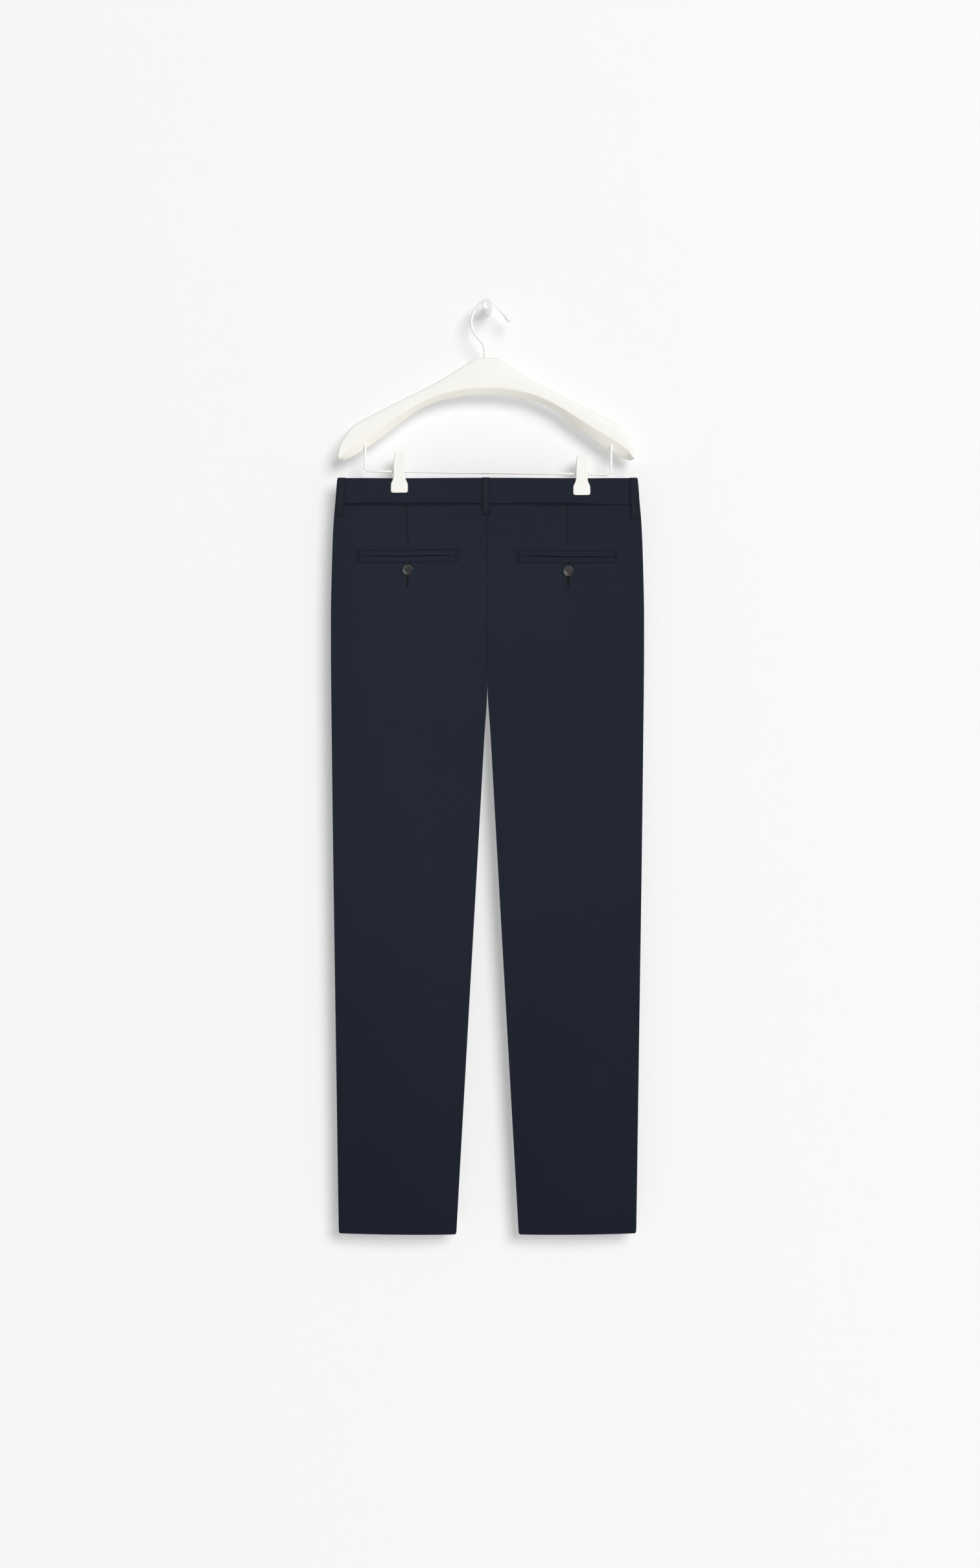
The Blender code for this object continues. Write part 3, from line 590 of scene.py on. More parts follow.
def new_piece(name, verts, faces, slot, smooth_angle=50.0):
    """An object from points in millimetres, riding on the part, in a slot of the record."""
    mesh = bpy.data.meshes.new(name)
    mesh.from_pydata((np.asarray(verts, dtype=float).reshape(-1, 3) * MM).tolist(), [], faces)
    mesh.validate()
    mesh.shade_smooth()
    mesh.set_sharp_from_angle(angle=math.radians(smooth_angle))
    piece = bpy.data.objects.new(name, mesh)
    bpy.context.scene.collection.objects.link(piece)
    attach(piece, "root")
    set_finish(piece, slot)
    face_out(piece)
    return piece


def grid_faces(rows, cols, start=0, flip=False, close=False):
    """Quads of a grid of points laid out row by row."""
    faces = []
    last = cols if close else cols - 1
    for r in range(rows - 1):
        for c in range(last):
            d = (c + 1) % cols
            quad = (start + r * cols + c, start + r * cols + d,
                    start + (r + 1) * cols + d, start + (r + 1) * cols + c)
            faces.append(quad[::-1] if flip else quad)
    return faces


def shell_piece(name, outer, inner, flip=False):
    """A closed wall of cloth between two grids of points of the same shape."""
    rows, cols = outer.shape[:2]
    count = rows * cols
    faces = grid_faces(rows, cols, 0, flip) + grid_faces(rows, cols, count, not flip)
    border = ([(0, c) for c in range(cols)] + [(r, cols - 1) for r in range(1, rows)]
              + [(rows - 1, c) for c in range(cols - 2, -1, -1)]
              + [(r, 0) for r in range(rows - 2, 0, -1)])
    ids = [r * cols + c for r, c in border]
    for a, b in zip(ids, ids[1:] + ids[:1]):
        quad = (b, a, a + count, b + count)
        faces.append(quad[::-1] if flip else quad)
    verts = np.concatenate([outer.reshape(-1, 3), inner.reshape(-1, 3)])
    return new_piece(name, verts, faces, "navy_twill")


def tube_faces(rows, cols, start=0):
    """Faces of a closed solid through rings of points, with its two end caps."""
    return grid_faces(rows, cols, start, close=True) + [
        tuple(range(start, start + cols))[::-1],
        tuple(range(start + (rows - 1) * cols, start + rows * cols))]


def loft_piece(name, rings, slot, smooth_angle=50.0):
    """A closed solid through rings of equally many points."""
    rings = np.asarray(rings, dtype=float)
    return new_piece(name, rings, tube_faces(*rings.shape[:2]), slot, smooth_angle)


def turned_piece(name, outline, around, place, slot):
    """A ring turned from a closed outline; place(r, along, angle) gives each point."""
    verts = np.array([[place(r, along, a) for r, along in outline] for a in circle(around)])
    count = len(outline)
    faces = []
    for i in range(around):
        j = (i + 1) % around
        for k in range(count):
            m = (k + 1) % count
            faces.append((i * count + k, i * count + m, j * count + m, j * count + k))
    return new_piece(name, verts, faces, slot)


def face_out(piece):
    """Turn a closed mesh's faces outwards if its volume comes out negative."""
    mesh = piece.data
    points = np.empty(len(mesh.vertices) * 3)
    mesh.vertices.foreach_get("co", points)
    points = points.reshape(-1, 3)
    mesh.calc_loop_triangles()
    ids = np.empty(len(mesh.loop_triangles) * 3, dtype=int)
    mesh.loop_triangles.foreach_get("vertices", ids)
    a, b, c = (points[ids.reshape(-1, 3)[:, k]] for k in range(3))
    if np.einsum("ij,ij->i", a, np.cross(b, c)).sum() < 0:
        mesh.flip_normals()


def rounded_outline(corners, radii, arc_steps=4):
    """A closed outline with each corner replaced by an arc-like curve."""
    outline = []
    count = len(corners)
    for i, corner in enumerate(corners):
        corner = np.asarray(corner, dtype=float)
        before = np.asarray(corners[i - 1], dtype=float) - corner
        after = np.asarray(corners[(i + 1) % count], dtype=float) - corner
        reach = min(radii[i], 0.48 * np.linalg.norm(before), 0.48 * np.linalg.norm(after))
        start = corner + before / np.linalg.norm(before) * reach
        end = corner + after / np.linalg.norm(after) * reach
        for t in np.linspace(0.0, 1.0, arc_steps + 1):
            outline.append((1 - t) ** 2 * start + 2 * t * (1 - t) * corner + t * t * end)
    return np.array(outline)


def stitches_piece(name, runs, radius, thread=None):
    """Raised stitches: each run is a list of (start, end, outward) in millimetres."""
    profile = ((0.0, 0.25), (0.16, 0.85), (0.5, 1.0), (0.84, 0.85), (1.0, 0.25))
    around = 6
    verts, faces = [], []
    for start, end, outward in runs:
        start, end = np.asarray(start, dtype=float), np.asarray(end, dtype=float)
        along = end - start
        out = np.asarray(outward, dtype=float)
        across = np.cross(along, out)
        across /= np.linalg.norm(across)
        faces += tube_faces(len(profile), around, len(verts))
        for t, width in profile:
            lift = radius * (1.1 * math.sin(math.pi * t) - 0.35)
            middle = start + along * t + out * lift
            for k in range(around):
                angle = 2 * math.pi * k / around
                verts.append(middle + (across * math.cos(angle) + out * math.sin(angle) * 0.8)
                             * radius * width)
    dress(new_piece(name, np.array(verts), faces, "navy_twill", 80.0), thread or thread_material())


def run_on(facing, ends, row):
    """Stitches along a straight or curved line of (x, z) points laid on a panel."""
    rng = np.random.default_rng(row.seed)
    line = np.asarray(ends, dtype=float)
    steps = np.hypot(*np.diff(line, axis=0).T)
    total = np.concatenate([[0.0], np.cumsum(steps)])
    count = max(int(total[-1] / row.pitch), 1)
    runs = []
    for i in range(count):
        s = total[-1] * (i + 0.5) / count + rng.uniform(-row.jitter, row.jitter)
        pair = [np.array([np.interp(s + d, total, line[:, k]) for k in (0, 1)])
                for d in (-row.length / 2, row.length / 2)]
        a, b = (panel_point(facing, p[0], p[1], row.lift) for p in pair)
        runs.append((a, b, (0.0, facing, 0.0)))
    return runs


def tack_stitch(facing, start, end, lift):
    """One stitch of a tack on a panel, from one (x, z) point to another."""
    a, b = (panel_point(facing, x, z, lift, fine=False) for x, z in (start, end))
    return a, b, (0, facing, 0)


# What a piece was cut from: the cut's width, length and area in metres, what it
# hangs from, and the pieces sewn on it.
Cut = namedtuple("Cut", "piece width length area rests_on sewn_on")


def cloth_cuts():
    """Every cut of cloth that shows, from the panels to the belt loops."""
    cuts = [Cut(f"cloth_back_{side}", 0.226, 1.045, 0.200, f"waistband_{side}",
                (f"cloth_welt_upper_{side}", f"cloth_welt_lower_{side}",
                 f"stitches_pocket_{side}", f"buttonhole_{side}", f"stitches_hem_{side}"))
            for side in SIDES]
    cuts += [Cut(f"cloth_front_{side}", 0.226, 1.045, 0.200, f"waistband_{side}",
                 (f"cloth_pocket_edge_{side}", f"stitches_front_pocket_{side}"))
             for side in SIDES]
    cuts += [Cut("cloth_fly_cover", 0.0386, 0.1700, 0.0061, "front_panel_left",
                 ("stitches_fly",)),
             Cut("cloth_waistband_left", 0.448, 0.0365, None, "clip_jaw_near_left", ()),
             Cut("cloth_waistband_right", 0.428, 0.0365, None, "clip_jaw_near_right",
                 ("buttonhole_waist",))]
    cuts += [Cut(f"cloth_{loop.node}", LOOP_WIDTH * MM, loop.length, None, loop.rests_on,
                 (f"stitches_{loop.node}",)) for loop in LOOPS]
    return cuts


def declare_cloth():
    for cut in cloth_cuts():
        list(cut.sewn_on)


# ---------------------------------------------------------------- node groups and materials

def fill(node, **values):
    """Set up a node; names with a leading capital are input sockets, and _ is a space."""
    for key, value in values.items():
        if not key[0].isupper():
            setattr(node, key, value)
        elif isinstance(value, bpy.types.NodeSocket):
            node.id_data.links.new(value, node.inputs[key.replace("_", " ")])
        else:
            node.inputs[key.replace("_", " ")].default_value = value
    return node


def add(tree, kind, **values):
    return fill(tree.nodes.new(kind), **values)


def maths(tree, operation, *values):
    made = add(tree, "ShaderNodeMath", operation=operation)
    for socket, value in zip(made.inputs, values):
        if isinstance(value, bpy.types.NodeSocket):
            tree.links.new(value, socket)
        else:
            socket.default_value = value
    return made.outputs[0]


def sums(tree):
    """Plus, less, times and over: functions that add one maths node each."""
    return [partial(maths, tree, kind) for kind in ("ADD", "SUBTRACT", "MULTIPLY", "DIVIDE")]


def object_place(tree):
    return add(tree, "ShaderNodeTexCoord").outputs["Object"]


def new_group(name, inputs, outputs):
    """An empty node group with named sockets; gives the tree and its two end nodes."""
    tree = bpy.data.node_groups.new(name, "ShaderNodeTree")
    for socket, kind, value in inputs:
        made = tree.interface.new_socket(socket, in_out="INPUT", socket_type=kind)
        made.default_value = value
    for socket, kind in outputs:
        tree.interface.new_socket(socket, in_out="OUTPUT", socket_type=kind)
    return tree, tree.nodes.new("NodeGroupInput"), tree.nodes.new("NodeGroupOutput")


def group(name):
    """A node group, built on first use."""
    if name not in bpy.data.node_groups:
        GROUP_BUILDERS[name]()
    return bpy.data.node_groups[name]


def build_twill():
    """Diagonal ribs crossed by the yarns: a shade round 1 and a height."""
    tree, into, out = new_group(
        "Twill weave",
        [("Pitch", "NodeSocketFloat", 0.0006), ("Lean", "NodeSocketFloat", 1.0),
         ("Contrast", "NodeSocketFloat", 0.1)],
        [("Shade", "NodeSocketFloat"), ("Height", "NodeSocketFloat")])
    plus, _, times, over = sums(tree)
    pitch, lean, contrast = (into.outputs[name] for name in ("Pitch", "Lean", "Contrast"))
    place = object_place(tree)
    split = add(tree, "ShaderNodeSeparateXYZ", Vector=place)
    wobble = add(tree, "ShaderNodeTexNoise", Vector=place, Scale=420.0, Detail=2.0, Roughness=0.6)
    turns = over(plus(split.outputs["X"], times(split.outputs["Z"], lean)), pitch)
    turns = plus(turns, times(wobble.outputs["Fac"], 1.6))
    rib = maths(tree, "SINE", times(turns, 2 * math.pi))
    yarn = maths(tree, "SINE", times(over(split.outputs["Z"], pitch), 2.9 * math.pi))
    weave = plus(times(rib, 0.7), times(yarn, 0.3))
    fill(out, Shade=plus(times(weave, contrast), 1.0), Height=plus(times(weave, 0.5), 0.5))


def build_drift():
    """Uneven colour: broad patches, fine nap and stray lint over a base colour."""
    tree, into, out = new_group(
        "Colour drift",
        [("Colour", "NodeSocketColor", (0.5, 0.5, 0.5, 1.0)), ("Shade", "NodeSocketFloat", 1.0),
         ("Broad scale", "NodeSocketFloat", 5.0), ("Broad amount", "NodeSocketFloat", 0.1),
         ("Fine scale", "NodeSocketFloat", 300.0), ("Fine amount", "NodeSocketFloat", 0.1)],
        [("Colour", "NodeSocketColor"), ("Value", "NodeSocketFloat")])
    plus, less, times, _ = sums(tree)
    place = object_place(tree)
    total = into.outputs["Shade"]
    for part, detail in (("Broad", 3.0), ("Fine", 4.0)):
        noise = add(tree, "ShaderNodeTexNoise", Vector=place, Scale=into.outputs[f"{part} scale"],
                    Detail=detail, Roughness=0.55)
        swing = times(less(noise.outputs["Fac"], 0.5), 2.0)
        total = times(total, plus(times(swing, into.outputs[f"{part} amount"]), 1.0))
    tint = add(tree, "ShaderNodeMix", data_type="RGBA", blend_type="MULTIPLY", Factor=1.0,
               A=into.outputs["Colour"], B=total)
    fill(out, Colour=tint.outputs["Result"], Value=total)


def build_wear():
    """Rubbed edges and fine dust: a mask for colour and roughness."""
    tree, into, out = new_group(
        "Edge wear",
        [("Width", "NodeSocketFloat", 0.5), ("Break up", "NodeSocketFloat", 180.0),
         ("Amount", "NodeSocketFloat", 0.3)],
        [("Mask", "NodeSocketFloat")])
    _, less, times, over = sums(tree)
    noise = add(tree, "ShaderNodeTexNoise", Vector=object_place(tree),
                Scale=into.outputs["Break up"], Detail=5.0, Roughness=0.65)
    sharp = less(add(tree, "ShaderNodeNewGeometry").outputs["Pointiness"], 0.5)
    sharp = over(sharp, times(into.outputs["Width"], 0.2))
    edge = add(tree, "ShaderNodeClamp", Value=times(sharp, noise.outputs["Fac"]))
    fill(out, Mask=times(edge.outputs[0], into.outputs["Amount"]))


GROUP_BUILDERS = {"Twill weave": build_twill, "Colour drift": build_drift, "Edge wear": build_wear}


def place_group(tree, name, **values):
    return add(tree, "ShaderNodeGroup", node_tree=group(name), **values)


def new_material(name):
    """A material with its Principled shader; gives material, tree and shader."""
    made = bpy.data.materials.new(name)
    made.use_nodes = True
    return made, made.node_tree, made.node_tree.nodes["Principled BSDF"]


def bump(tree, shader, height, strength, depth):
    """Relief of a depth in millimetres."""
    made = add(tree, "ShaderNodeBump", Strength=strength, Distance=depth * MM, Height=height)
    fill(shader, Normal=made.outputs["Normal"])


def cloth_material(name, colour, lean=1.0, sheen=0.06):
    """Cotton twill of one colour; lean turns the ribs."""
    if name in bpy.data.materials:
        return bpy.data.materials[name]
    made, tree, shader = new_material(name)
    _, less, times, _ = sums(tree)
    weave = place_group(tree, "Twill weave", Lean=lean, Contrast=0.10,
                        Pitch=bpy.context.scene.chino_cloth.twill_pitch)
    # painted shade: the cloth's colour darkens in the sewn lines kept on the mesh, 55% at a welt
    # ditch's depth
    ditch = add(tree, "ShaderNodeAttribute", attribute_name="ditch").outputs["Fac"]
    shade = times(weave.outputs["Shade"], less(1.0, times(ditch, 0.55)))
    drift = place_group(tree, "Colour drift", Colour=(*colour, 1.0), Shade=shade, Broad_scale=4.0,
                        Broad_amount=0.16, Fine_scale=260.0, Fine_amount=0.10)
    fill(shader, Base_Color=drift.outputs["Colour"], Roughness=0.86, Specular_IOR_Level=0.12,
         Sheen_Weight=sheen, Sheen_Roughness=0.55, Sheen_Tint=(0.55, 0.62, 0.80, 1.0))
    bump(tree, shader, weave.outputs["Height"], 0.35, 0.045)
    return made


def thread_material(name="Sewing thread", colour=None):
    """Twisted sewing thread, with a little gloss."""
    if name in bpy.data.materials:
        return bpy.data.materials[name]
    made, tree, shader = new_material(name)
    ply = place_group(tree, "Twill weave", Pitch=0.00035, Lean=1.7, Contrast=0.25)
    drift = place_group(tree, "Colour drift", Shade=ply.outputs["Shade"], Broad_amount=0.08,
                        Colour=(*(colour or bpy.context.scene.chino_cloth.thread), 1.0),
                        Fine_scale=500.0, Fine_amount=0.15)
    fill(shader, Base_Color=drift.outputs["Colour"], Roughness=0.75, Specular_IOR_Level=0.14)
    bump(tree, shader, ply.outputs["Height"], 0.4, 0.06)
    return made


def twist_material():
    return thread_material("Buttonhole twist", bpy.context.scene.chino_cloth.twist)


def horn_material():
    """Polished horn: cloudy streaks between a dark and a pale tone."""
    name = "Grey-brown horn"
    if name in bpy.data.materials:
        return bpy.data.materials[name]
    trim = bpy.context.scene.chino_trim
    made, tree, shader = new_material(name)
    stretch = add(tree, "ShaderNodeMapping", Vector=object_place(tree), Scale=(1.0, 1.0, 2.8),
                  Rotation=(0.0, 0.5, 0.0))
    cloud = add(tree, "ShaderNodeTexNoise", Vector=stretch.outputs["Vector"], Scale=130.0,
                Detail=4.0, Roughness=0.55, Distortion=1.2).outputs["Fac"]
    ramp = add(tree, "ShaderNodeValToRGB", Fac=cloud)
    for stop, place, colour in zip(ramp.color_ramp.elements, (0.42, 0.72),
                                   (trim.horn, trim.horn_light)):
        stop.position = place
        stop.color = (*colour, 1.0)
    drift = place_group(tree, "Colour drift", Colour=ramp.outputs["Color"], Broad_scale=90.0,
                        Broad_amount=0.15, Fine_scale=900.0, Fine_amount=0.08)
    fill(shader, Base_Color=drift.outputs["Colour"], Roughness=0.34, Coat_Weight=0.25,
         Coat_Roughness=0.18)
    bump(tree, shader, cloud, 0.12, 0.05)
    return made


def paint_light_below(tree, colour, tint):
    """The colour, multiplied by the tint where the surface faces down: painted warm light on the
    undersides.
    """
    normal = add(tree, "ShaderNodeNewGeometry").outputs["Normal"]
    split = add(tree, "ShaderNodeSeparateXYZ", Vector=normal)
    facing = maths(tree, "MULTIPLY", split.outputs["Z"], -1.6)
    mix = add(tree, "ShaderNodeMixRGB", blend_type="MULTIPLY", Fac=facing, Color1=colour,
              Color2=(*tint, 1.0))
    return mix.outputs["Color"]


def hard_material(name, colour, roughness, coat, relief, under=None, speckle=0.012):
    """Moulded or coated surface with faint mottling and softly rubbed edges."""
    if name in bpy.data.materials:
        return bpy.data.materials[name]
    made, tree, shader = new_material(name)
    _, less, times, _ = sums(tree)
    drift = place_group(tree, "Colour drift", Colour=(*colour, 1.0), Broad_scale=16.0,
                        Broad_amount=0.015, Fine_scale=900.0, Fine_amount=speckle)
    base = drift.outputs["Colour"]
    worn = place_group(tree, "Edge wear", Width=0.4, Break_up=240.0, Amount=0.25)
    rough = times(less(roughness, times(worn.outputs["Mask"], 0.25)), drift.outputs["Value"])
    # under, when given, paints warm light onto the surfaces that face down
    fill(shader, Base_Color=paint_light_below(tree, base, under) if under else base, Roughness=rough,
         Coat_Weight=coat, Coat_Roughness=0.22)
    grain = add(tree, "ShaderNodeTexNoise", Vector=object_place(tree), Scale=1400.0, Detail=2.0)
    bump(tree, shader, grain.outputs["Fac"], 0.25, relief)
    return made


def moulding():
    colour = bpy.context.scene.chino_hanger.moulding
    # painted warm light on the moulding's undersides
    return hard_material("White moulding", colour, 0.5, 0.08, 0.02, under=(1.06, 1.045, 0.985))


def coated_wire():
    return hard_material("White coated wire", bpy.context.scene.chino_hanger.wire, 0.32, 0.3, 0.01)


def dress(piece, material, node=None):
    """Give a piece its material, and hide the node that it stands for."""
    piece.data.materials.clear()
    piece.data.materials.append(material)
    if node:
        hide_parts(node)


def twill(name="Navy twill", lean=1.0):
    return cloth_material(name, bpy.context.scene.chino_cloth.twill, lean)


# ---------------------------------------------------------------- trousers

def paint_ditch_shade(piece, depth):
    """Keep how deep the sewn lines are on the mesh, as painted shade that darkens the cloth's colour
    in them.
    """
    values = np.zeros(len(piece.data.vertices))
    values[:depth.size] = np.clip(depth.ravel() / WELT_DITCH, 0.0, 1.6)
    kept = piece.data.attributes.new("ditch", "FLOAT", "POINT")
    kept.data.foreach_set("value", values)


def refined(steps, spans, fine=0.55):
    """Rising steps with finer ones inside each (low, high) span."""
    kept = [v for v in steps if all(not low - fine < v < high + fine for low, high in spans)]
    for low, high in spans:
        kept += list(np.linspace(low, high, int((high - low) / fine) + 1))
    return np.array(sorted(kept))


def panel_grid(facing, side, out):
    """Points of a panel's face: rows from the hem to the waistband, columns from the seam out."""
    fold = np.array([0.0, 0.15, 0.45, 0.9, 1.5])
    rows = np.concatenate([
        HEM + fold, np.linspace(HEM + 4.0, HEM + HEM_DEPTH - 4.0, 6),
        HEM + HEM_DEPTH + np.array([-2.0, -1.0, 0.0, 1.0, 2.0]),
        np.linspace(HEM + HEM_DEPTH + 4.0, PANEL_TOP - 3.0,
                    int((PANEL_TOP - HEM - HEM_DEPTH) / GRID_MM)),
        PANEL_TOP - np.array([1.6, 0.8, 0.35, 0.0, -TUCK])])
    edge = np.array([0.0, 0.5, 1.0, 1.6])
    columns = np.concatenate([edge, np.linspace(3.0, PANEL_WIDE - 3.0, int(PANEL_WIDE / GRID_MM)),
                              PANEL_WIDE - edge[::-1]])
    if facing == BACK:
        pocket = POCKETS[0 if side == LEFT else 1]
        dart = DARTS[0 if side == LEFT else 1]
        low, high = pocket.mouth - WELT_HEIGHT, pocket.mouth + WELT_HEIGHT
        rows = refined(rows, [(low - 3.0, low + 1.5), (pocket.mouth - 2.2, pocket.mouth + 2.2),
                              (high - 1.5, high + 3.0)])
        wide = np.sort(np.abs([dart.top_x, dart.foot_x])) * PANEL_WIDE / BAND_HALF_BOTTOM
        columns = refined(columns, [(wide[0] - 5.0, wide[1] + 3.0)], 0.6)
        for end in (pocket.near, pocket.far):
            middle = end * PANEL_WIDE / float(at_height("outer", pocket.mouth))
            columns = refined(columns, [(middle - 1.8, middle + 1.8)])
    share = columns / PANEL_WIDE
    z = np.repeat(rows[:, None], len(share), axis=1)
    outer, inner = at_height("outer", z), at_height("inner", z)
    corner = np.clip(1 - (z - HEM) / HEM_CORNER, 0, 1)
    pulled = HEM_CORNER * (1 - np.sqrt(1 - corner ** 2)) * 0.9
    near = inner + VISIBLE_GAP + pulled
    x = near + (outer - pulled - near) * share[None, :]
    points = panel_point(facing, side * x, z, out, bpy.context.scene.chino_cloth.crease,
                         fine=out == 0.0)
    roll = np.interp(z - HEM, fold, 1 - np.sqrt(1 - (1 - fold / fold[-1]) ** 2))
    wall = HEM_WALL / 2 * roll * np.where(z < HEM + fold[-1], 1.0, 0.0)
    points[..., 1] -= facing * (wall if out == 0.0 else -wall)
    points[..., 2] += seam_lift(facing, side * x) * (1 - smooth((PANEL_TOP - z) / 60.0))
    across = (x - inner) / (outer - inner)
    points[..., 2] += HEM_SLOPE * (across - 0.5) * smooth((HEM + 110.0 - z) / 110.0)
    return points


def make_panel(facing, side, side_name):
    name = "back" if facing == BACK else "front"
    outer = panel_grid(facing, side, 0.0)
    inner = panel_grid(facing, side, -WALL)
    hem = smooth((HEM + HEM_DEPTH + 0.6 - outer[..., 2]) / 1.2)
    inner[..., 1] -= facing * (HEM_WALL - WALL) * hem
    stop = np.maximum if facing == FRONT else np.minimum
    inner[..., 1] = stop(inner[..., 1], HANG_Y + facing * 0.1)
    piece = shell_piece(f"cloth_{name}_{side_name}", outer, inner, flip=facing * side > 0)
    # painted shade in the panel's seams, darts, pocket ditches and pocket mouths
    paint_ditch_shade(piece, sewn_ditches(facing, outer[..., 0], outer[..., 2]))
    dress(piece, twill(), f"{name}_panel_{side_name}")


def band_profile():
    """The waistband's cross-section: (out from the outer face, share of the height)."""
    top_round = [(-BAND_WALL / 2 + BAND_WALL / 2 * math.cos(a), math.sin(a))
                 for a in np.linspace(0, math.pi, 9)]
    low_round = [(-BAND_WALL / 2 * (1 + math.copysign(abs(math.cos(a)) ** EDGE_SQUARE, math.cos(a))),
                  -abs(math.sin(a)) ** EDGE_SQUARE) for a in np.linspace(0.04, math.pi - 0.04, 9)]
    return top_round, low_round


def make_band(side, side_name):
    """Half of the waistband as a folded strip that runs round the side."""
    flat = np.concatenate([[VISIBLE_GAP, 0.6, 1.4], np.arange(3.0, 204.0, BAND_GRID)])
    top_round, low_round = band_profile()
    rows = np.linspace(0.0, 1.0, 14)[1:-1]
    heights = BAND_TOP - 1.0 - rows * (BAND_TOP - BAND_BOTTOM - 2)
    rings = []

    def ring(place, lap=0.0, crest=0.0):
        """place(out, height) gives a point; lap moves the whole strip outwards."""
        rings.append([place(out + lap, BAND_TOP - 1.0 + up) for out, up in top_round]
                     + [place(-BAND_WALL + lap, z) for z in heights]
                     + [place(out + lap, BAND_BOTTOM + 1.0 + up * 0.9) for out, up in low_round]
                     + [place(lap + crest * math.sin(math.pi * t), z)
                        for t, z in zip(rows[::-1], heights[::-1])])

    def on_face(facing, x):
        lift = float(seam_lift(facing, x))
        wave = 0.16 * float(waves(x, facing * 40.0, 12, 46.0, 15.0))

        def place(out, z):
            t = (BAND_TOP - z) / (BAND_TOP - BAND_BOTTOM)
            point = band_point(facing, x, z, out + wave * t)
            return (point[0], point[1], z + lift * smooth(t))
        return place

    for x in flat:
        ring(on_face(BACK, side * x), crest=0.12)
    end_lift = float(seam_lift(BACK, side * BAND_HALF_BOTTOM))
    for angle in np.linspace(-math.pi / 2, math.pi / 2, 15):
        def bend(out, z, angle=angle):
            radius = BAND_END_RADIUS + out
            corner = 1.6 * (1 - math.sqrt(max(1 - min(max((z - BAND_TOP + 2.4) / 2.4, 0), 1) ** 2, 0)))
            low = smooth((BAND_TOP - z) / (BAND_TOP - BAND_BOTTOM))
            lift = end_lift * (1 - math.sin(angle)) / 2 * float(low)
            return (side * (band_half(z) - BAND_END_RADIUS - corner + radius * math.cos(angle)),
                    HANG_Y + radius * math.sin(angle), z + lift)
        ring(bend, crest=0.08)
    for x in flat[::-1]:
        if side == LEFT and x < 12.0:
            continue
        ring(on_face(FRONT, side * x), crest=0.12)
    if side == LEFT:
        for x in np.concatenate([np.arange(LAP_FROM, BAND_TONGUE - 1, 1.5), [BAND_TONGUE]]):
            lap = (BAND_WALL + SEAM_GAP) * float(smooth((x - LAP_FROM) / LAP_RUN))
            ring(on_face(FRONT, x), lap, crest=0.12)
    piece = loft_piece(f"cloth_waistband_{side_name}", rings, "navy_twill")
    dress(piece, twill("Navy twill, band", lean=-1.0), f"waistband_{side_name}")


def make_loop(loop):
    """A belt loop with turned edges, bowed off the band and tacked at both ends."""
    rows, cols = 44, 17
    top = BAND_TOP + 0.35
    t = np.linspace(0.0, 1.0, rows)[:, None]
    share = np.linspace(-0.5, 0.5, cols)[None, :]
    z = top + (loop.foot - top) * t + 0 * share
    x = loop.top_x + (loop.foot_x - loop.top_x) * t + LOOP_WIDTH * share
    above = band_point(loop.facing, x, np.full_like(z, top))[..., 1]
    below = panel_point(loop.facing, x, np.full_like(z, loop.foot), fine=False)[..., 1]
    under = np.where(z > BAND_BOTTOM, band_point(loop.facing, x, z)[..., 1],
                     panel_point(loop.facing, x, z, fine=False)[..., 1])
    clear = loop.facing * np.stack([under, above + (below - above) * t])
    clear = clear.max(axis=0) + SEAM_GAP
    bow = LOOP_BOW * np.sin(math.pi * t) ** 0.6
    edges = 0.26 * np.exp(-((np.abs(share) * LOOP_WIDTH - 4.0) / 0.6) ** 2) + 0 * t
    middle = 0.22 * np.exp(-(share * LOOP_WIDTH / 1.0) ** 2)
    round_off = 0.55 * (1 - np.sqrt(np.clip(1 - (np.abs(share) * 2) ** 8, 0, 1)))
    ends = 0.5 * np.exp(-(np.minimum(t, 1 - t) * 55.0 / 1.2) ** 2)
    fold = 0.5 * smooth((t - 0.90) / 0.02) * smooth((1.0 - t) / 0.01)
    outward = clear + bow + LOOP_WALL + middle + fold - edges - round_off - ends
    outer = np.stack([x, loop.facing * outward, z], axis=-1)
    inner = np.stack([x, loop.facing * (clear + bow), z], axis=-1)
    piece = shell_piece(f"cloth_{loop.node}", outer, inner)
    # painted shade in the loop's edge grooves, along its long edges and across the fold at its foot
    rim = line_at(1 - np.abs(share) * 2, 0.12) + 0.9 * line_at(t - 0.90, 0.012)
    paint_ditch_shade(piece, edges + WELT_DITCH * rim)
    colour = bpy.context.scene.chino_cloth.loops
    dress(piece, cloth_material("Navy twill, loops", colour, -1.0, sheen=0.07), loop.node)
    tack(loop, outer)


def tack(loop, outer):
    """The bar tack across a belt loop's foot."""
    rows, cols = outer.shape[:2]
    slant = np.array((0.30, 0, 0.5))
    runs = [(outer[row, c] - slant, outer[row, c] + slant, (0, loop.facing, 0))
            for row in (rows - 3, rows - 2) for c in range(1, cols - 1)]
    stitches_piece(f"stitches_{loop.node}", runs, TACK_THREAD)


def strip_piece(name, node, edges, rows, cols, wall):
    """A strip of cloth laid on the front panels, with softly rounded long edges.

    edges(t) gives the two ends of the strip's row at t, from 0 to 1.
    """
    crown = 0.1
    outer, inner = [], []
    for t in np.linspace(0.0, 1.0, rows):
        (x0, z0), (x1, z1) = edges(t)
        share = np.linspace(0.0, 1.0, cols)
        rim = min(t, 1 - t) * 2
        swell = crown * (math.sqrt(max(1 - (1 - rim) ** 4, 0.0)) - 1.0)
        base = panel_point(FRONT, x0 + (x1 - x0) * share, z0 + (z1 - z0) * share, fine=False)
        outer.append(base + np.array([0, FRONT * (wall + swell), 0]))
        inner.append(base)
    dress(shell_piece(name, np.array(outer), np.array(inner)), twill(), node)


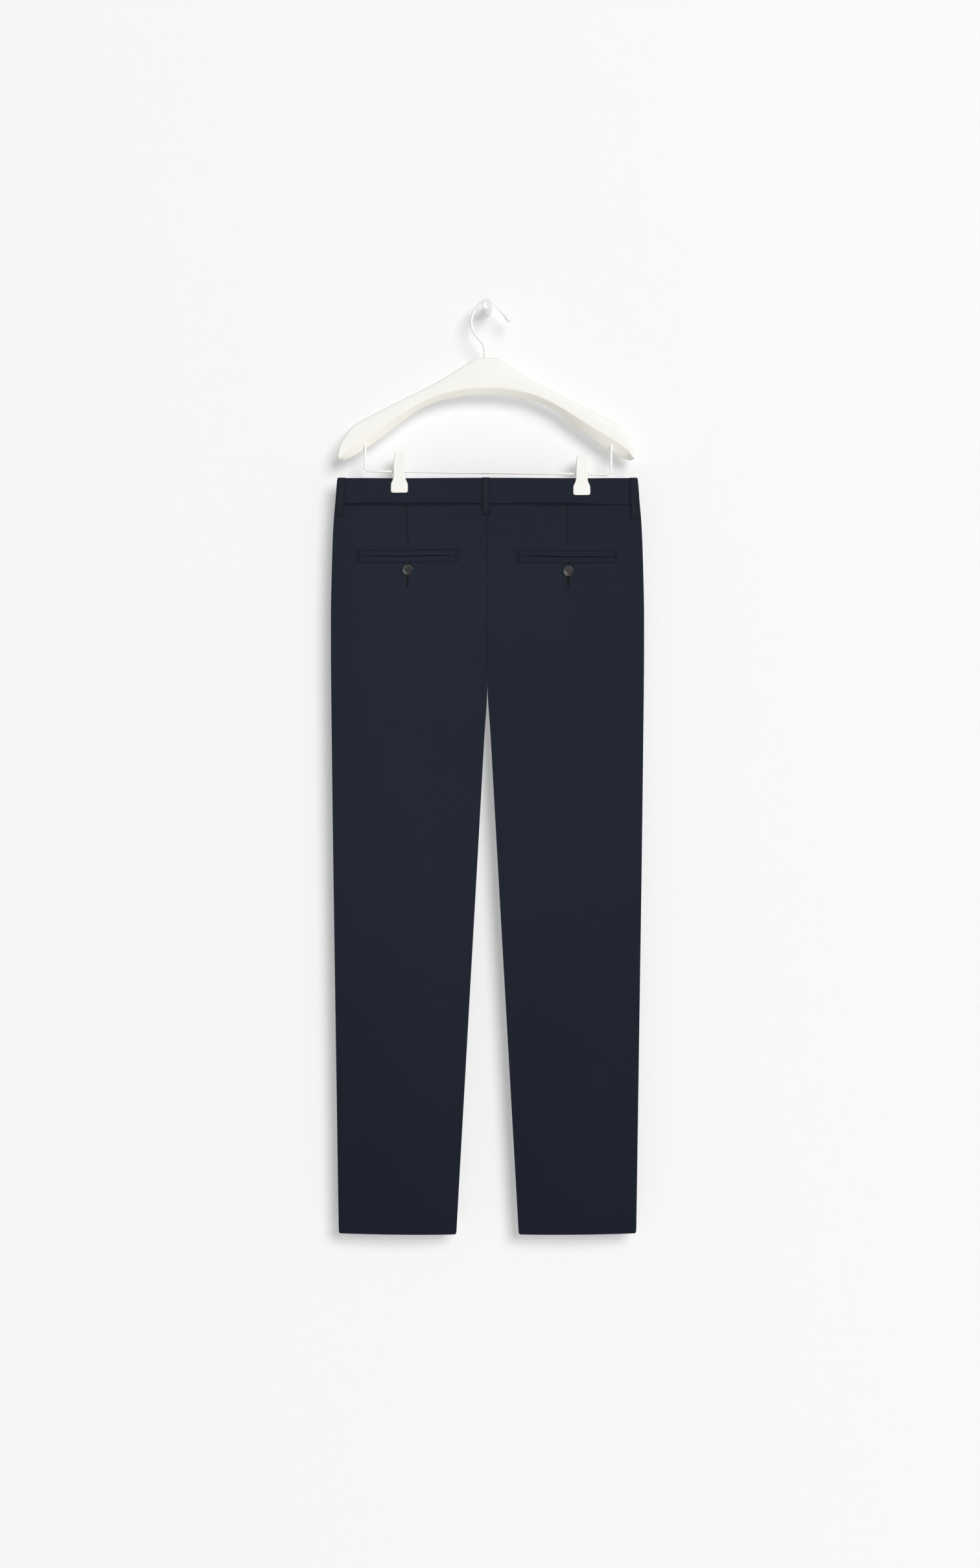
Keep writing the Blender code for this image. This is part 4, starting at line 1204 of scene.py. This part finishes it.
def make_back_pocket(pocket):
    """Two welts, the stitches round them, the end tacks and the buttonhole."""
    name = pocket.name
    near, far = pocket.side * pocket.near, pocket.side * pocket.far
    for part, sign in (("upper", 1), ("lower", -1)):
        outer, inner = [], []
        for down in WELT_STEPS:
            xs = np.linspace(near, far, 90)
            parted = mouth_parts(pocket, xs)
            gap = MOUTH_HALF * np.maximum(parted, 0.08)
            zs = pocket_mouth(pocket, xs) + sign * (gap + (WELT_HEIGHT - gap) * down)
            base = panel_point(BACK, xs, zs, -0.2, fine=False)
            away = down * WELT_HEIGHT
            swell = WELT_RISE + WELT_ROLL * math.exp(-((away - 1.0) / 2.0) ** 2)
            lip = (0.9 if sign < 0 else 0.7) * (0.3 + 0.7 * parted)
            swell -= lip * math.exp(-(away / 0.28) ** 2)
            swell -= 0.35 * math.exp(-((WELT_HEIGHT - away) / 0.5) ** 2)
            ends = np.minimum(np.abs(xs - near), np.abs(xs - far))
            rise_mm = swell + 0.06 * waves(xs, zs, 77, 22.0, 7.0) - 0.4 * np.exp(-(ends / 1.2) ** 2)
            outer.append(base + np.stack([0 * xs, BACK * np.maximum(rise_mm, 0.08), 0 * xs], -1))
            inner.append(base)
        piece = shell_piece(f"cloth_welt_{part}_{name}", np.array(outer), np.array(inner))
        dress(piece, twill("Navy twill, welts", lean=-1.0), f"back_welt_{part}_{name}")
    runs = []
    half = WELT_HEIGHT + STITCH_OFF
    low_x, high_x = sorted((near, far))
    ends = (low_x - STITCH_OVER, high_x + STITCH_OVER)
    xs = np.linspace(*ends, 40)
    for sign in (-1, 1):
        runs += run_on(BACK, list(zip(xs, pocket_mouth(pocket, xs) + sign * half)), POCKET_ROW)
    for x in ends:
        middle = float(pocket_mouth(pocket, x))
        runs += run_on(BACK, [(x, middle - half), (x, middle + half)], POCKET_END_ROW)
    for x in (low_x + POCKET_TACK_IN, high_x - POCKET_TACK_IN):
        for step in np.linspace(-6.2, 6.2, 24):
            z = float(pocket_mouth(pocket, x)) + step
            lift = WELT_RISE - 0.1 + WELT_ROLL * math.exp(-((abs(step) - 1.0) / 2.0) ** 2)
            runs.append(tack_stitch(BACK, (x - 0.75, z), (x + 0.75, z + 0.2), lift))
    stitches_piece(f"stitches_pocket_{name}", runs, ROW_THREAD)
    make_buttonhole(f"buttonhole_{name}", panel_point, BACK, pocket.button_x + 0.2,
                    pocket.button_z - BUTTONHOLE_TOP, BUTTONHOLE_LENGTH,
                    (pocket.hole_top, pocket.hole_foot))


def make_buttonhole(name, surface, facing, x, top, length, reaches=(1.45, 1.45), flat=False,
                    lift=0.0):
    """A worked buttonhole: threads across a slit with a tack at each end, upright or level.

    reaches are how far the threads stand out from the slit at its two ends.
    """
    rng = np.random.default_rng(21)
    runs = []

    def thread(u0, v0, u1, v1):
        a, b = ((x + v0, top + u0), (x + v1, top + u1)) if flat else ((x + u0, top + v0),
                                                                      (x + u1, top + v1))
        runs.append((surface(facing, *a, lift), surface(facing, *b, lift), (0, facing, 0)))

    for k in range(int(length / HOLE_PITCH)):
        v = -HOLE_PITCH * (k + 0.5)
        for edge in (-1, 1):
            reach = reaches[0] + (reaches[1] - reaches[0]) * -v / length + rng.uniform(-0.08, 0.08)
            thread(edge * 0.02, v, edge * reach, v + rng.uniform(-0.04, 0.04))
        thread(0.0, v + 0.5, 0.0, v - 0.5)
    for end, wide in ((0.0, reaches[0]), (-length, reaches[1] + 0.3)):
        for k in range(-2, 3):
            thread(-wide, end + k * 0.34, wide, end + k * 0.34)
    stitches_piece(name, runs, HOLE_THREAD, twist_material())


def make_front_pocket(side, side_name):
    """The turned edge of a slanted front pocket and its row of stitches."""
    (x0, z0), (x1, z1) = POCKET_SLANT

    def edges(t):
        z = z0 + (z1 - z0) * t
        inward = POCKET_EDGE_WIDTH * (1.0 - 0.4 * smooth((t - 0.93) / 0.07))
        x = x0 + (x1 - x0) * t
        return (side * (x - inward), z), (side * x, z)
    strip_piece(f"cloth_pocket_edge_{side_name}", f"front_pocket_edge_{side_name}", edges,
                70, 9, 0.7)
    line = [(side * (x0 - 1.6), z0 - 1), (side * (x1 - 1.6), z1 + 1)]
    runs = run_on(FRONT, line, FRONT_POCKET_ROW)
    for t in (0.06, 0.985):
        x, z = x0 + (x1 - x0) * t, z0 + (z1 - z0) * t
        for step in np.linspace(-4.5, 4.5, 18):
            start = side * (x - 2.0) + step
            runs.append(tack_stitch(FRONT, (start, z - 0.7), (start + 0.15, z + 0.7),
                                    FRONT_POCKET_ROW.lift))
    stitches_piece(f"stitches_front_pocket_{side_name}", runs, ROW_THREAD)


def make_fly():
    """The fly's cover, its curved row of stitches and the tack at its foot."""
    top = BAND_BOTTOM - 1.0

    def edges(t):
        z = top + (FLY_FOOT - top) * t
        curve = math.sqrt(max(1 - max((t - 0.72) / 0.28, 0.0) ** 2, 0.012))
        return (-FLY_WIDTH * curve, z), (0.6, z)
    strip_piece("cloth_fly_cover", "fly_cover", edges, 76, 19, 0.75)
    line = []
    for t in np.linspace(0.01, 0.97, 60):
        (x, z), _ = edges(t)
        line.append((x + FLY_STITCH_IN * min(1.0, (1 - t) * 9 + 0.3), z + 2.0 * t))
    runs = run_on(FRONT, line, FLY_ROW)
    for step in np.linspace(-5.0, 5.0, 20):
        a = panel_point(FRONT, -9.0 + step * 0.8, FLY_FOOT + 7.0 + step * 0.5, 0.65, fine=False)
        runs.append((a, a + np.array([0.25, 0.0, 1.3]), (0, FRONT, 0)))
    stitches_piece("stitches_fly", runs, ROW_THREAD)


def make_hem_stitches():
    """Blind stitches, which only dot the outside of each hem."""
    for side_name, side in SIDES.items():
        runs = []
        for facing in (BACK, FRONT):
            z = HEM + HEM_DEPTH
            inner, outer = float(at_height("inner", z)), float(at_height("outer", z))
            line = [(side * (inner + 4), z), (side * (outer - 4), z)]
            runs += run_on(facing, line, HEM_ROW[facing])
        stitches_piece(f"stitches_hem_{side_name}", runs, HEM_THREAD)


# ---------------------------------------------------------------- buttons

def make_button(name, node, radius, facing):
    """A turned four-hole button with thread through its holes."""
    low, high = node_box(node)
    x, z = (low.x + high.x) / 2, (low.z + high.z) / 2
    back = high.y if facing == BACK else low.y
    thick = high.y - low.y
    profile = through([(0.02, 0.0), (radius * 0.55, 0.0), (radius * 0.84, 0.12), (radius * 0.98, 0.9),
                       (radius, 1.5), (radius * 0.965, 2.2), (radius * 0.90, thick - 0.06),
                       (radius * 0.82, thick), (radius * 0.74, thick - 0.12),
                       (radius * 0.66, thick - 0.62), (radius * 0.58, thick - 0.95),
                       (radius * 0.40, thick - BUTTON_DISH), (0.02, thick - BUTTON_DISH)], 3)
    angle = circle(72)
    rings = []
    for r, out in profile:
        r = max(r, 0.02)
        rings.append(np.stack([x + r * np.cos(angle), np.full_like(angle, back + facing * out),
                               z + r * np.sin(angle)], axis=-1))
    piece = loft_piece(name, rings, "horn", 60.0)
    for dx in (-HOLE_SPREAD, HOLE_SPREAD):
        for dz in (-HOLE_SPREAD, HOLE_SPREAD):
            pierce(piece, HOLE_RADIUS, (x + dx, back + facing * thick / 2, z + dz), thick * 3)
    dress(piece, horn_material(), node)
    top = back + facing * (thick - BUTTON_DISH)
    reach = HOLE_SPREAD + 0.1
    runs = []
    for slant in (-1, 1):
        for step in (-0.24, 0.0, 0.24):
            runs.append(((x - reach + step, top, z - slant * reach + slant * step),
                         (x + reach + step, top, z + slant * reach + slant * step),
                         (0, facing, 0)))
    stitches_piece(f"{name}_thread", runs, BUTTON_THREAD, twist_material())


def pierce(piece, radius, centre, length):
    """Cut a round hole along Y through a piece."""
    around = 20
    angle = circle(around)
    rings = [np.stack([centre[0] + radius * np.cos(angle),
                       np.full_like(angle, centre[1] + end * length / 2),
                       centre[2] + radius * np.sin(angle)], axis=-1) for end in (-1, 1)]
    mesh = bpy.data.meshes.new("cutter")
    mesh.from_pydata((np.concatenate(rings) * MM).tolist(), [], tube_faces(2, around))
    cutter = bpy.data.objects.new("cutter", mesh)
    bpy.context.scene.collection.objects.link(cutter)
    face_out(cutter)
    cut = piece.modifiers.new("hole", "BOOLEAN")
    cut.operation = "DIFFERENCE"
    cut.solver = "EXACT"
    cut.object = cutter
    settle_modifiers(piece)
    bpy.data.objects.remove(cutter, do_unlink=True)


def settle_modifiers(piece):
    """Apply a piece's modifiers to its mesh."""
    shape = piece.evaluated_get(bpy.context.evaluated_depsgraph_get())
    mesh = bpy.data.meshes.new_from_object(shape)
    piece.modifiers.clear()
    piece.data = mesh


# ---------------------------------------------------------------- hanger

def hanger_section(length, undercut):
    """The moulding's section down from its top edge, as (along, depth).

    The underside slants from the near face down to the far one.
    """
    full = HANGER_HALF_THICK
    slant = min(undercut, 0.6 * length)
    corners = [(0.0, -full + 1.4), (1.2, -full), (length - slant, -full),
               (length, full - 2.0), (length - 1.6, full), (1.2, full), (0.0, full - 1.4)]
    return rounded_outline(corners, [1.6, 2.6, 0.9, 1.6, 1.6, 2.6, 1.6], 3)


def make_hanger_body():
    half = through(ARM, 9)
    stations = [(-a, b, -c, d, e) for a, b, c, d, e in half[:0:-1]] + [tuple(row) for row in half]
    rings = []

    def ring(row, scale=1.0, push=(0.0, 0.0)):
        top = np.array([HANGER_X + row[0], row[1]])
        low = np.array([HANGER_X + row[2], row[3]])
        length = np.linalg.norm(low - top)
        section = hanger_section(length, row[4])
        middle = np.array([length / 2, 0.0])
        section = middle + (section - middle) * scale
        place = top + section[:, :1] * (low - top) / length + np.array(push)
        rings.append(np.stack([place[:, 0], HANG_Y + section[:, 1], place[:, 1]], axis=-1))

    def dome(row, side, angles):
        along = np.array([row[2] - row[0], row[3] - row[1]])
        outward = np.array([-along[1], along[0]]) / np.linalg.norm(along) * side
        for angle in angles:
            ring(row, math.cos(angle), outward * TIP_DOME * math.sin(angle))

    angles = np.radians([84.0, 70.0, 54.0, 36.0, 18.0])
    dome(stations[0], -1, angles)
    for row in stations:
        ring(row)
    dome(stations[-1], 1, angles[::-1])
    dress(loft_piece("hanger_moulding", rings, "white_plastic", 42.0), moulding(), "hanger_body")
    make_collar(HOOK_X, ARM[0].top_z + 0.2)


def make_collar(x, z):
    """The small round collar where the hook goes into the moulding."""
    inner, outer, half = HOOK_RADIUS + 0.35, HOOK_RADIUS + 1.5, 0.65
    outline = rounded_outline([(inner, -half), (outer, -half), (outer, half), (inner, half)],
                              [0.1, 0.4, 0.4, 0.1], 3)

    def place(r, up, a):
        return x + r * math.cos(a), HANG_Y + r * math.sin(a), z + up
    dress(turned_piece("hanger_neck_collar", outline, 32, place, "white_plastic"), moulding())


def tube_piece(name, points, radii, slot, around=20):
    """A round wire along points in the hanging plane."""
    points = np.asarray(points, dtype=float)
    tangents = np.gradient(points, axis=0)
    tangents /= np.linalg.norm(tangents, axis=1)[:, None]
    angle = circle(around)
    rings = []
    for (x, z), (tx, tz), radius in zip(points, tangents, radii):
        across = radius * np.cos(angle)
        rings.append(np.stack([x - tz * across, HANG_Y + radius * np.sin(angle),
                               z + tx * across], axis=-1))
    return loft_piece(name, rings, slot, 60.0)


def make_hook():
    """The hanger's wire hook, its tip swollen to a rounded end."""
    points = through(HOOK_ROUTE, 24)
    steps = np.hypot(*np.diff(points, axis=0).T)
    to_tip = np.concatenate([np.cumsum(steps[::-1])[::-1], [0.0]])
    swell = 1.0 + HOOK_BULB * smooth((HOOK_BULB_FROM - to_tip) / HOOK_BULB_RUN)
    end = np.sqrt(np.clip(1 - (1 - np.clip(to_tip / HOOK_END, 0, 1)) ** 2, 0.02, 1))
    piece = tube_piece("hook_wire", points, HOOK_RADIUS * swell * end, "white_wire")
    dress(piece, coated_wire(), "hanger_hook")


def make_clip_bar():
    """The U-shaped wire that the clips ride on."""
    (x0, z0), (x1, z1) = BAR_LEFT, BAR_RIGHT

    def bend(x, z, first, last):
        return [(x + BAR_BEND * math.cos(a), z + BAR_BEND * math.sin(a))
                for a in np.linspace(first * math.pi, last * math.pi, 12)]
    points = [(x0, z) for z in np.linspace(BAR_SOCKET_TOP, z0 + BAR_BEND, 6)[:-1]]
    points += bend(x0 + BAR_BEND, z0 + BAR_BEND, 1, 1.5)
    points += [(x, bar_height(x)) for x in np.linspace(x0 + BAR_BEND, x1 - BAR_BEND, 24)[1:-1]]
    points += bend(x1 - BAR_BEND, z1 + BAR_BEND, 1.5, 2)
    points += [(x1, z) for z in np.linspace(z1 + BAR_BEND, BAR_SOCKET_TOP, 6)[1:]]
    piece = tube_piece("clip_bar_wire", points, [BAR_RADIUS] * len(points), "white_wire")
    dress(piece, coated_wire(), "clip_bar")


def bar_height(x):
    (x0, z0), (x1, z1) = BAR_LEFT, BAR_RIGHT
    return z0 + (z1 - z0) * (x - x0 - BAR_BEND) / (x1 - x0 - 2 * BAR_BEND)


def make_clip(x, side_name):
    """Two moulded jaws and the barrel between them on the bar."""
    centre = bar_height(x)
    for name, facing in (("near", BACK), ("far", FRONT)):
        rings = []
        for rise_mm, half, inside, thick in through(JAW, 5):
            half = max(half, 2.0)
            dish = 0.35 * math.exp(-((rise_mm - 14.0) / 7.0) ** 2)
            corners = [(-half, 0.0), (half, 0.0), (half, thick), (half * 0.5, thick - dish),
                       (0.0, thick - dish * 1.3), (-half * 0.5, thick - dish), (-half, thick)]
            outline = rounded_outline(corners, [0.5, 0.5, 1.3, 2.0, 2.0, 2.0, 1.3], 3)
            rings.append(np.stack([x + outline[:, 0],
                                   HANG_Y + facing * (inside + outline[:, 1]),
                                   np.full(len(outline), centre + rise_mm)], axis=-1))
        piece = loft_piece(f"clip_{name}_{side_name}", rings, "white_plastic", 40.0)
        dress(piece, moulding(), f"clip_jaw_{name}_{side_name}")
    outline = rounded_outline([(BARREL_RADIUS, -BARREL_HALF), (BARREL_RADIUS, BARREL_HALF),
                               (BAR_RADIUS + SEAM_GAP, BARREL_HALF),
                               (BAR_RADIUS + SEAM_GAP, -BARREL_HALF)], [0.7, 0.7, 0.3, 0.3], 3)
    tilt = math.atan2(BAR_RIGHT[1] - BAR_LEFT[1], BAR_RIGHT[0] - BAR_LEFT[0] - 2 * BAR_BEND)

    def place(r, along, a):
        return (x + along * math.cos(tilt) - r * math.sin(a) * math.sin(tilt),
                HANG_Y + r * math.cos(a),
                centre + along * math.sin(tilt) + r * math.sin(a) * math.cos(tilt))
    dress(turned_piece(f"barrel_{side_name}", outline, 28, place, "white_plastic"), moulding(),
          f"clip_barrel_{side_name}")


def make_peg():
    """The round enamelled wall peg, its front edge softened and its face slightly dished."""
    angle = circle(64)
    # How far in from the rim, and back from the front end.
    edge = ((0.0, PEG_LENGTH), (0.0, PEG_LENGTH - 2.0), (0.0, 6.0), (0.0, 1.2), (0.12, 0.6),
            (0.4, 0.22), (0.9, 0.0), (1.6, 0.05), (2.4, 0.25), (4.6, 0.34))
    profile = [(PEG_RADIUS - inward, PEG_LENGTH - back) for inward, back in edge]
    profile.append((0.05, PEG_LENGTH - 0.36))
    rings = [np.stack([r * np.cos(angle), np.full_like(angle, -out), r * np.sin(angle)], axis=-1)
             for r, out in profile]
    enamel = bpy.context.scene.chino_hanger.peg
    dress(loft_piece("peg_enamel", rings, "peg", 40.0),
          hard_material("Pale enamel", enamel, 0.26, 0.5, 0.02, speckle=0.22), "wall_peg")


# ---------------------------------------------------------------- stage

def one_sided_material(glow, tone):
    """A pale wall, evenly bright but still taking shadows, seen from the front only."""
    made, tree, _ = new_material("Stage wall")
    tree.nodes.clear()
    plain = add(tree, "ShaderNodeBsdfDiffuse", Color=(tone, tone, tone, 1.0))
    shine = add(tree, "ShaderNodeEmission", Strength=glow)
    both = add(tree, "ShaderNodeAddShader")
    clear = add(tree, "ShaderNodeBsdfTransparent")
    shape = add(tree, "ShaderNodeNewGeometry")
    path = add(tree, "ShaderNodeLightPath")
    hidden = maths(tree, "MAXIMUM", shape.outputs["Backfacing"], path.outputs["Is Shadow Ray"])
    mix = add(tree, "ShaderNodeMixShader", Fac=hidden)
    for shader, socket in ((plain, both.inputs[0]), (shine, both.inputs[1]),
                           (both, mix.inputs[1]), (clear, mix.inputs[2])):
        tree.links.new(shader.outputs[0], socket)
    add(tree, "ShaderNodeOutputMaterial", Surface=mix.outputs[0])
    return made


def stage_plane(name, corners, made):
    mesh = bpy.data.meshes.new(name)
    mesh.from_pydata(corners, [], [(0, 1, 2, 3)])
    mesh.materials.append(made)
    plane = bpy.data.objects.new(name, mesh)
    bpy.context.scene.collection.objects.link(plane)


def lit_by(name, slots):
    """A collection of the pieces in some slots, for a lamp that lights only those."""
    lit = bpy.data.collections.new(name)
    for piece in bpy.data.objects:
        if piece.get("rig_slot") in slots:
            lit.objects.link(piece)
    return lit


def add_lamp(lamp, lit):
    """A disc or a spot, which lights everything or only a collection."""
    light = bpy.data.lights.new(lamp.name, lamp.kind)
    if lamp.kind == "AREA":
        light.shape = "DISK"
        light.size = lamp.size
    else:
        light.spot_size = math.radians(lamp.size)
        light.spot_blend = 1.0
        light.shadow_soft_size = SPOT_SOFTNESS
    light.energy = lamp.power
    made = bpy.data.objects.new(lamp.name, light)
    made.location = lamp.place
    turn = (Vector(lamp.aim) - Vector(lamp.place)).to_track_quat("-Z", "Y")
    made.rotation_euler = turn.to_euler()
    bpy.context.scene.collection.objects.link(made)
    if lit:
        made.light_linking.receiver_collection = lit
        made.light_linking.blocker_collection = lit


def make_stage():
    scene = bpy.context.scene
    stage = scene.chino_stage
    reach = STAGE_REACH
    stage_plane("wall", [(-reach, WALL_Y, FLOOR_Z), (reach, WALL_Y, FLOOR_Z),
                         (reach, WALL_Y, WALL_TOP), (-reach, WALL_Y, WALL_TOP)],
                one_sided_material(stage.wall_glow, stage.wall))
    floor, _, shader = new_material("Stage floor")
    fill(shader, Base_Color=(stage.wall, stage.wall, stage.wall, 1.0), Roughness=0.9)
    stage_plane("floor", [(-reach, -reach, FLOOR_Z), (reach, -reach, FLOOR_Z),
                          (reach, reach, FLOOR_Z), (-reach, reach, FLOOR_Z)], floor)
    world = bpy.data.worlds.new("Studio")
    world.use_nodes = True
    fill(world.node_tree.nodes["Background"], Color=(1.0, 1.0, 1.0, 1.0), Strength=WORLD_STRENGTH)
    scene.world = world
    lit = {"everything": None, "object": lit_by("Lit by the fill", OBJECT_SLOTS),
           "cloth": lit_by("Lit by the cloth's lamps", CLOTH_SLOTS)}
    for lamp in LAMPS:
        add_lamp(lamp, lit[lamp.lights])
    camera = bpy.data.cameras.new("camera")
    camera.sensor_width = CAMERA_SENSOR
    camera.lens = CAMERA_LENS
    made = bpy.data.objects.new("camera", camera)
    made.location = (CAMERA_X, -stage.camera_distance, stage.camera_height)
    made.rotation_euler = (math.pi / 2, 0.0, 0.0)
    scene.collection.objects.link(made)
    scene.camera = made
    scene.view_settings.view_transform = "Standard"


# ---------------------------------------------------------------- operators

class CHINO_OT_panels(bpy.types.Operator):
    """Make the two backs and two fronts"""
    bl_idname = "chino.panels"
    bl_label = "Backs and fronts"

    def execute(self, context):
        for side_name, side in SIDES.items():
            for facing in (BACK, FRONT):
                make_panel(facing, side, side_name)
        make_hem_stitches()
        return {"FINISHED"}


class CHINO_OT_waistband(bpy.types.Operator):
    """Make the waistband's two halves and the belt loops"""
    bl_idname = "chino.waistband"
    bl_label = "Waistband and loops"

    def execute(self, context):
        for side_name, side in SIDES.items():
            make_band(side, side_name)
        for loop in LOOPS:
            make_loop(loop)
        return {"FINISHED"}


class CHINO_OT_pockets(bpy.types.Operator):
    """Make the back and front pockets with their stitches"""
    bl_idname = "chino.pockets"
    bl_label = "Pockets"

    def execute(self, context):
        for pocket in POCKETS:
            make_back_pocket(pocket)
        for side_name, side in SIDES.items():
            make_front_pocket(side, side_name)
        return {"FINISHED"}


class CHINO_OT_fly(bpy.types.Operator):
    """Make the fly's cover with its stitches"""
    bl_idname = "chino.fly"
    bl_label = "Fly"

    def execute(self, context):
        make_fly()
        return {"FINISHED"}


class CHINO_OT_buttons(bpy.types.Operator):
    """Make the horn buttons"""
    bl_idname = "chino.buttons"
    bl_label = "Buttons"

    def execute(self, context):
        trim = context.scene.chino_trim
        for side_name in SIDES:
            make_button(f"horn_button_{side_name}", f"back_button_{side_name}",
                        trim.button / 2 / MM, BACK)
        make_button("horn_waist_button", "waist_button", trim.waist_button / 2 / MM, FRONT)
        low, high = node_box("waist_button")
        make_buttonhole("buttonhole_waist", band_point, FRONT, high.x - 1.0,
                        (low.z + high.z) / 2, 18.0, flat=True, lift=BAND_WALL + SEAM_GAP + 0.15)
        return {"FINISHED"}


class CHINO_OT_hanger(bpy.types.Operator):
    """Make the hanger's moulding, hook, clip bar and clips"""
    bl_idname = "chino.hanger"
    bl_label = "Clip hanger"

    def execute(self, context):
        make_hanger_body()
        make_hook()
        make_clip_bar()
        for x, side_name in zip(CLIP_X, SIDES):
            make_clip(x, side_name)
        return {"FINISHED"}


class CHINO_OT_peg(bpy.types.Operator):
    """Make the wall peg"""
    bl_idname = "chino.peg"
    bl_label = "Wall peg"

    def execute(self, context):
        make_peg()
        return {"FINISHED"}


class CHINO_OT_cloth_facts(bpy.types.Operator):
    """Go through what each piece of cloth was cut from, without keeping it anywhere"""
    bl_idname = "chino.cloth_facts"
    bl_label = "Cloth facts"

    def execute(self, context):
        declare_cloth()
        return {"FINISHED"}


class CHINO_OT_stage(bpy.types.Operator):
    """Set up the wall, floor, lights and camera"""
    bl_idname = "chino.stage"
    bl_label = "Stage"

    def execute(self, context):
        make_stage()
        return {"FINISHED"}


OPERATORS = (CHINO_OT_panels, CHINO_OT_waistband, CHINO_OT_pockets, CHINO_OT_fly,
             CHINO_OT_buttons, CHINO_OT_hanger, CHINO_OT_peg, CHINO_OT_cloth_facts,
             CHINO_OT_stage)
SETTINGS = {"chino_cloth": ChinoClothSettings, "chino_trim": ChinoTrimSettings,
            "chino_hanger": ChinoHangerSettings, "chino_stage": ChinoStageSettings}


class CHINO_PT_panel(bpy.types.Panel):
    """Lists the steps that build the trousers"""
    bl_idname = "CHINO_PT_panel"
    bl_label = "Chino trousers"
    bl_space_type = "VIEW_3D"
    bl_region_type = "UI"
    bl_category = "Chinos"

    def draw(self, context):
        for operator in OPERATORS:
            self.layout.operator(operator.bl_idname)


def register():
    for item in (*SETTINGS.values(), *OPERATORS, CHINO_PT_panel):
        bpy.utils.register_class(item)
    for name, kind in SETTINGS.items():
        setattr(bpy.types.Scene, name, bpy.props.PointerProperty(type=kind))


def unregister():
    for name in SETTINGS:
        delattr(bpy.types.Scene, name)
    for item in (CHINO_PT_panel, *reversed(OPERATORS), *SETTINGS.values()):
        bpy.utils.unregister_class(item)


def main():
    register()
    for operator in OPERATORS:
        group_name, name = operator.bl_idname.split(".")
        getattr(getattr(bpy.ops, group_name), name)()


if __name__ == "__main__":
    main()
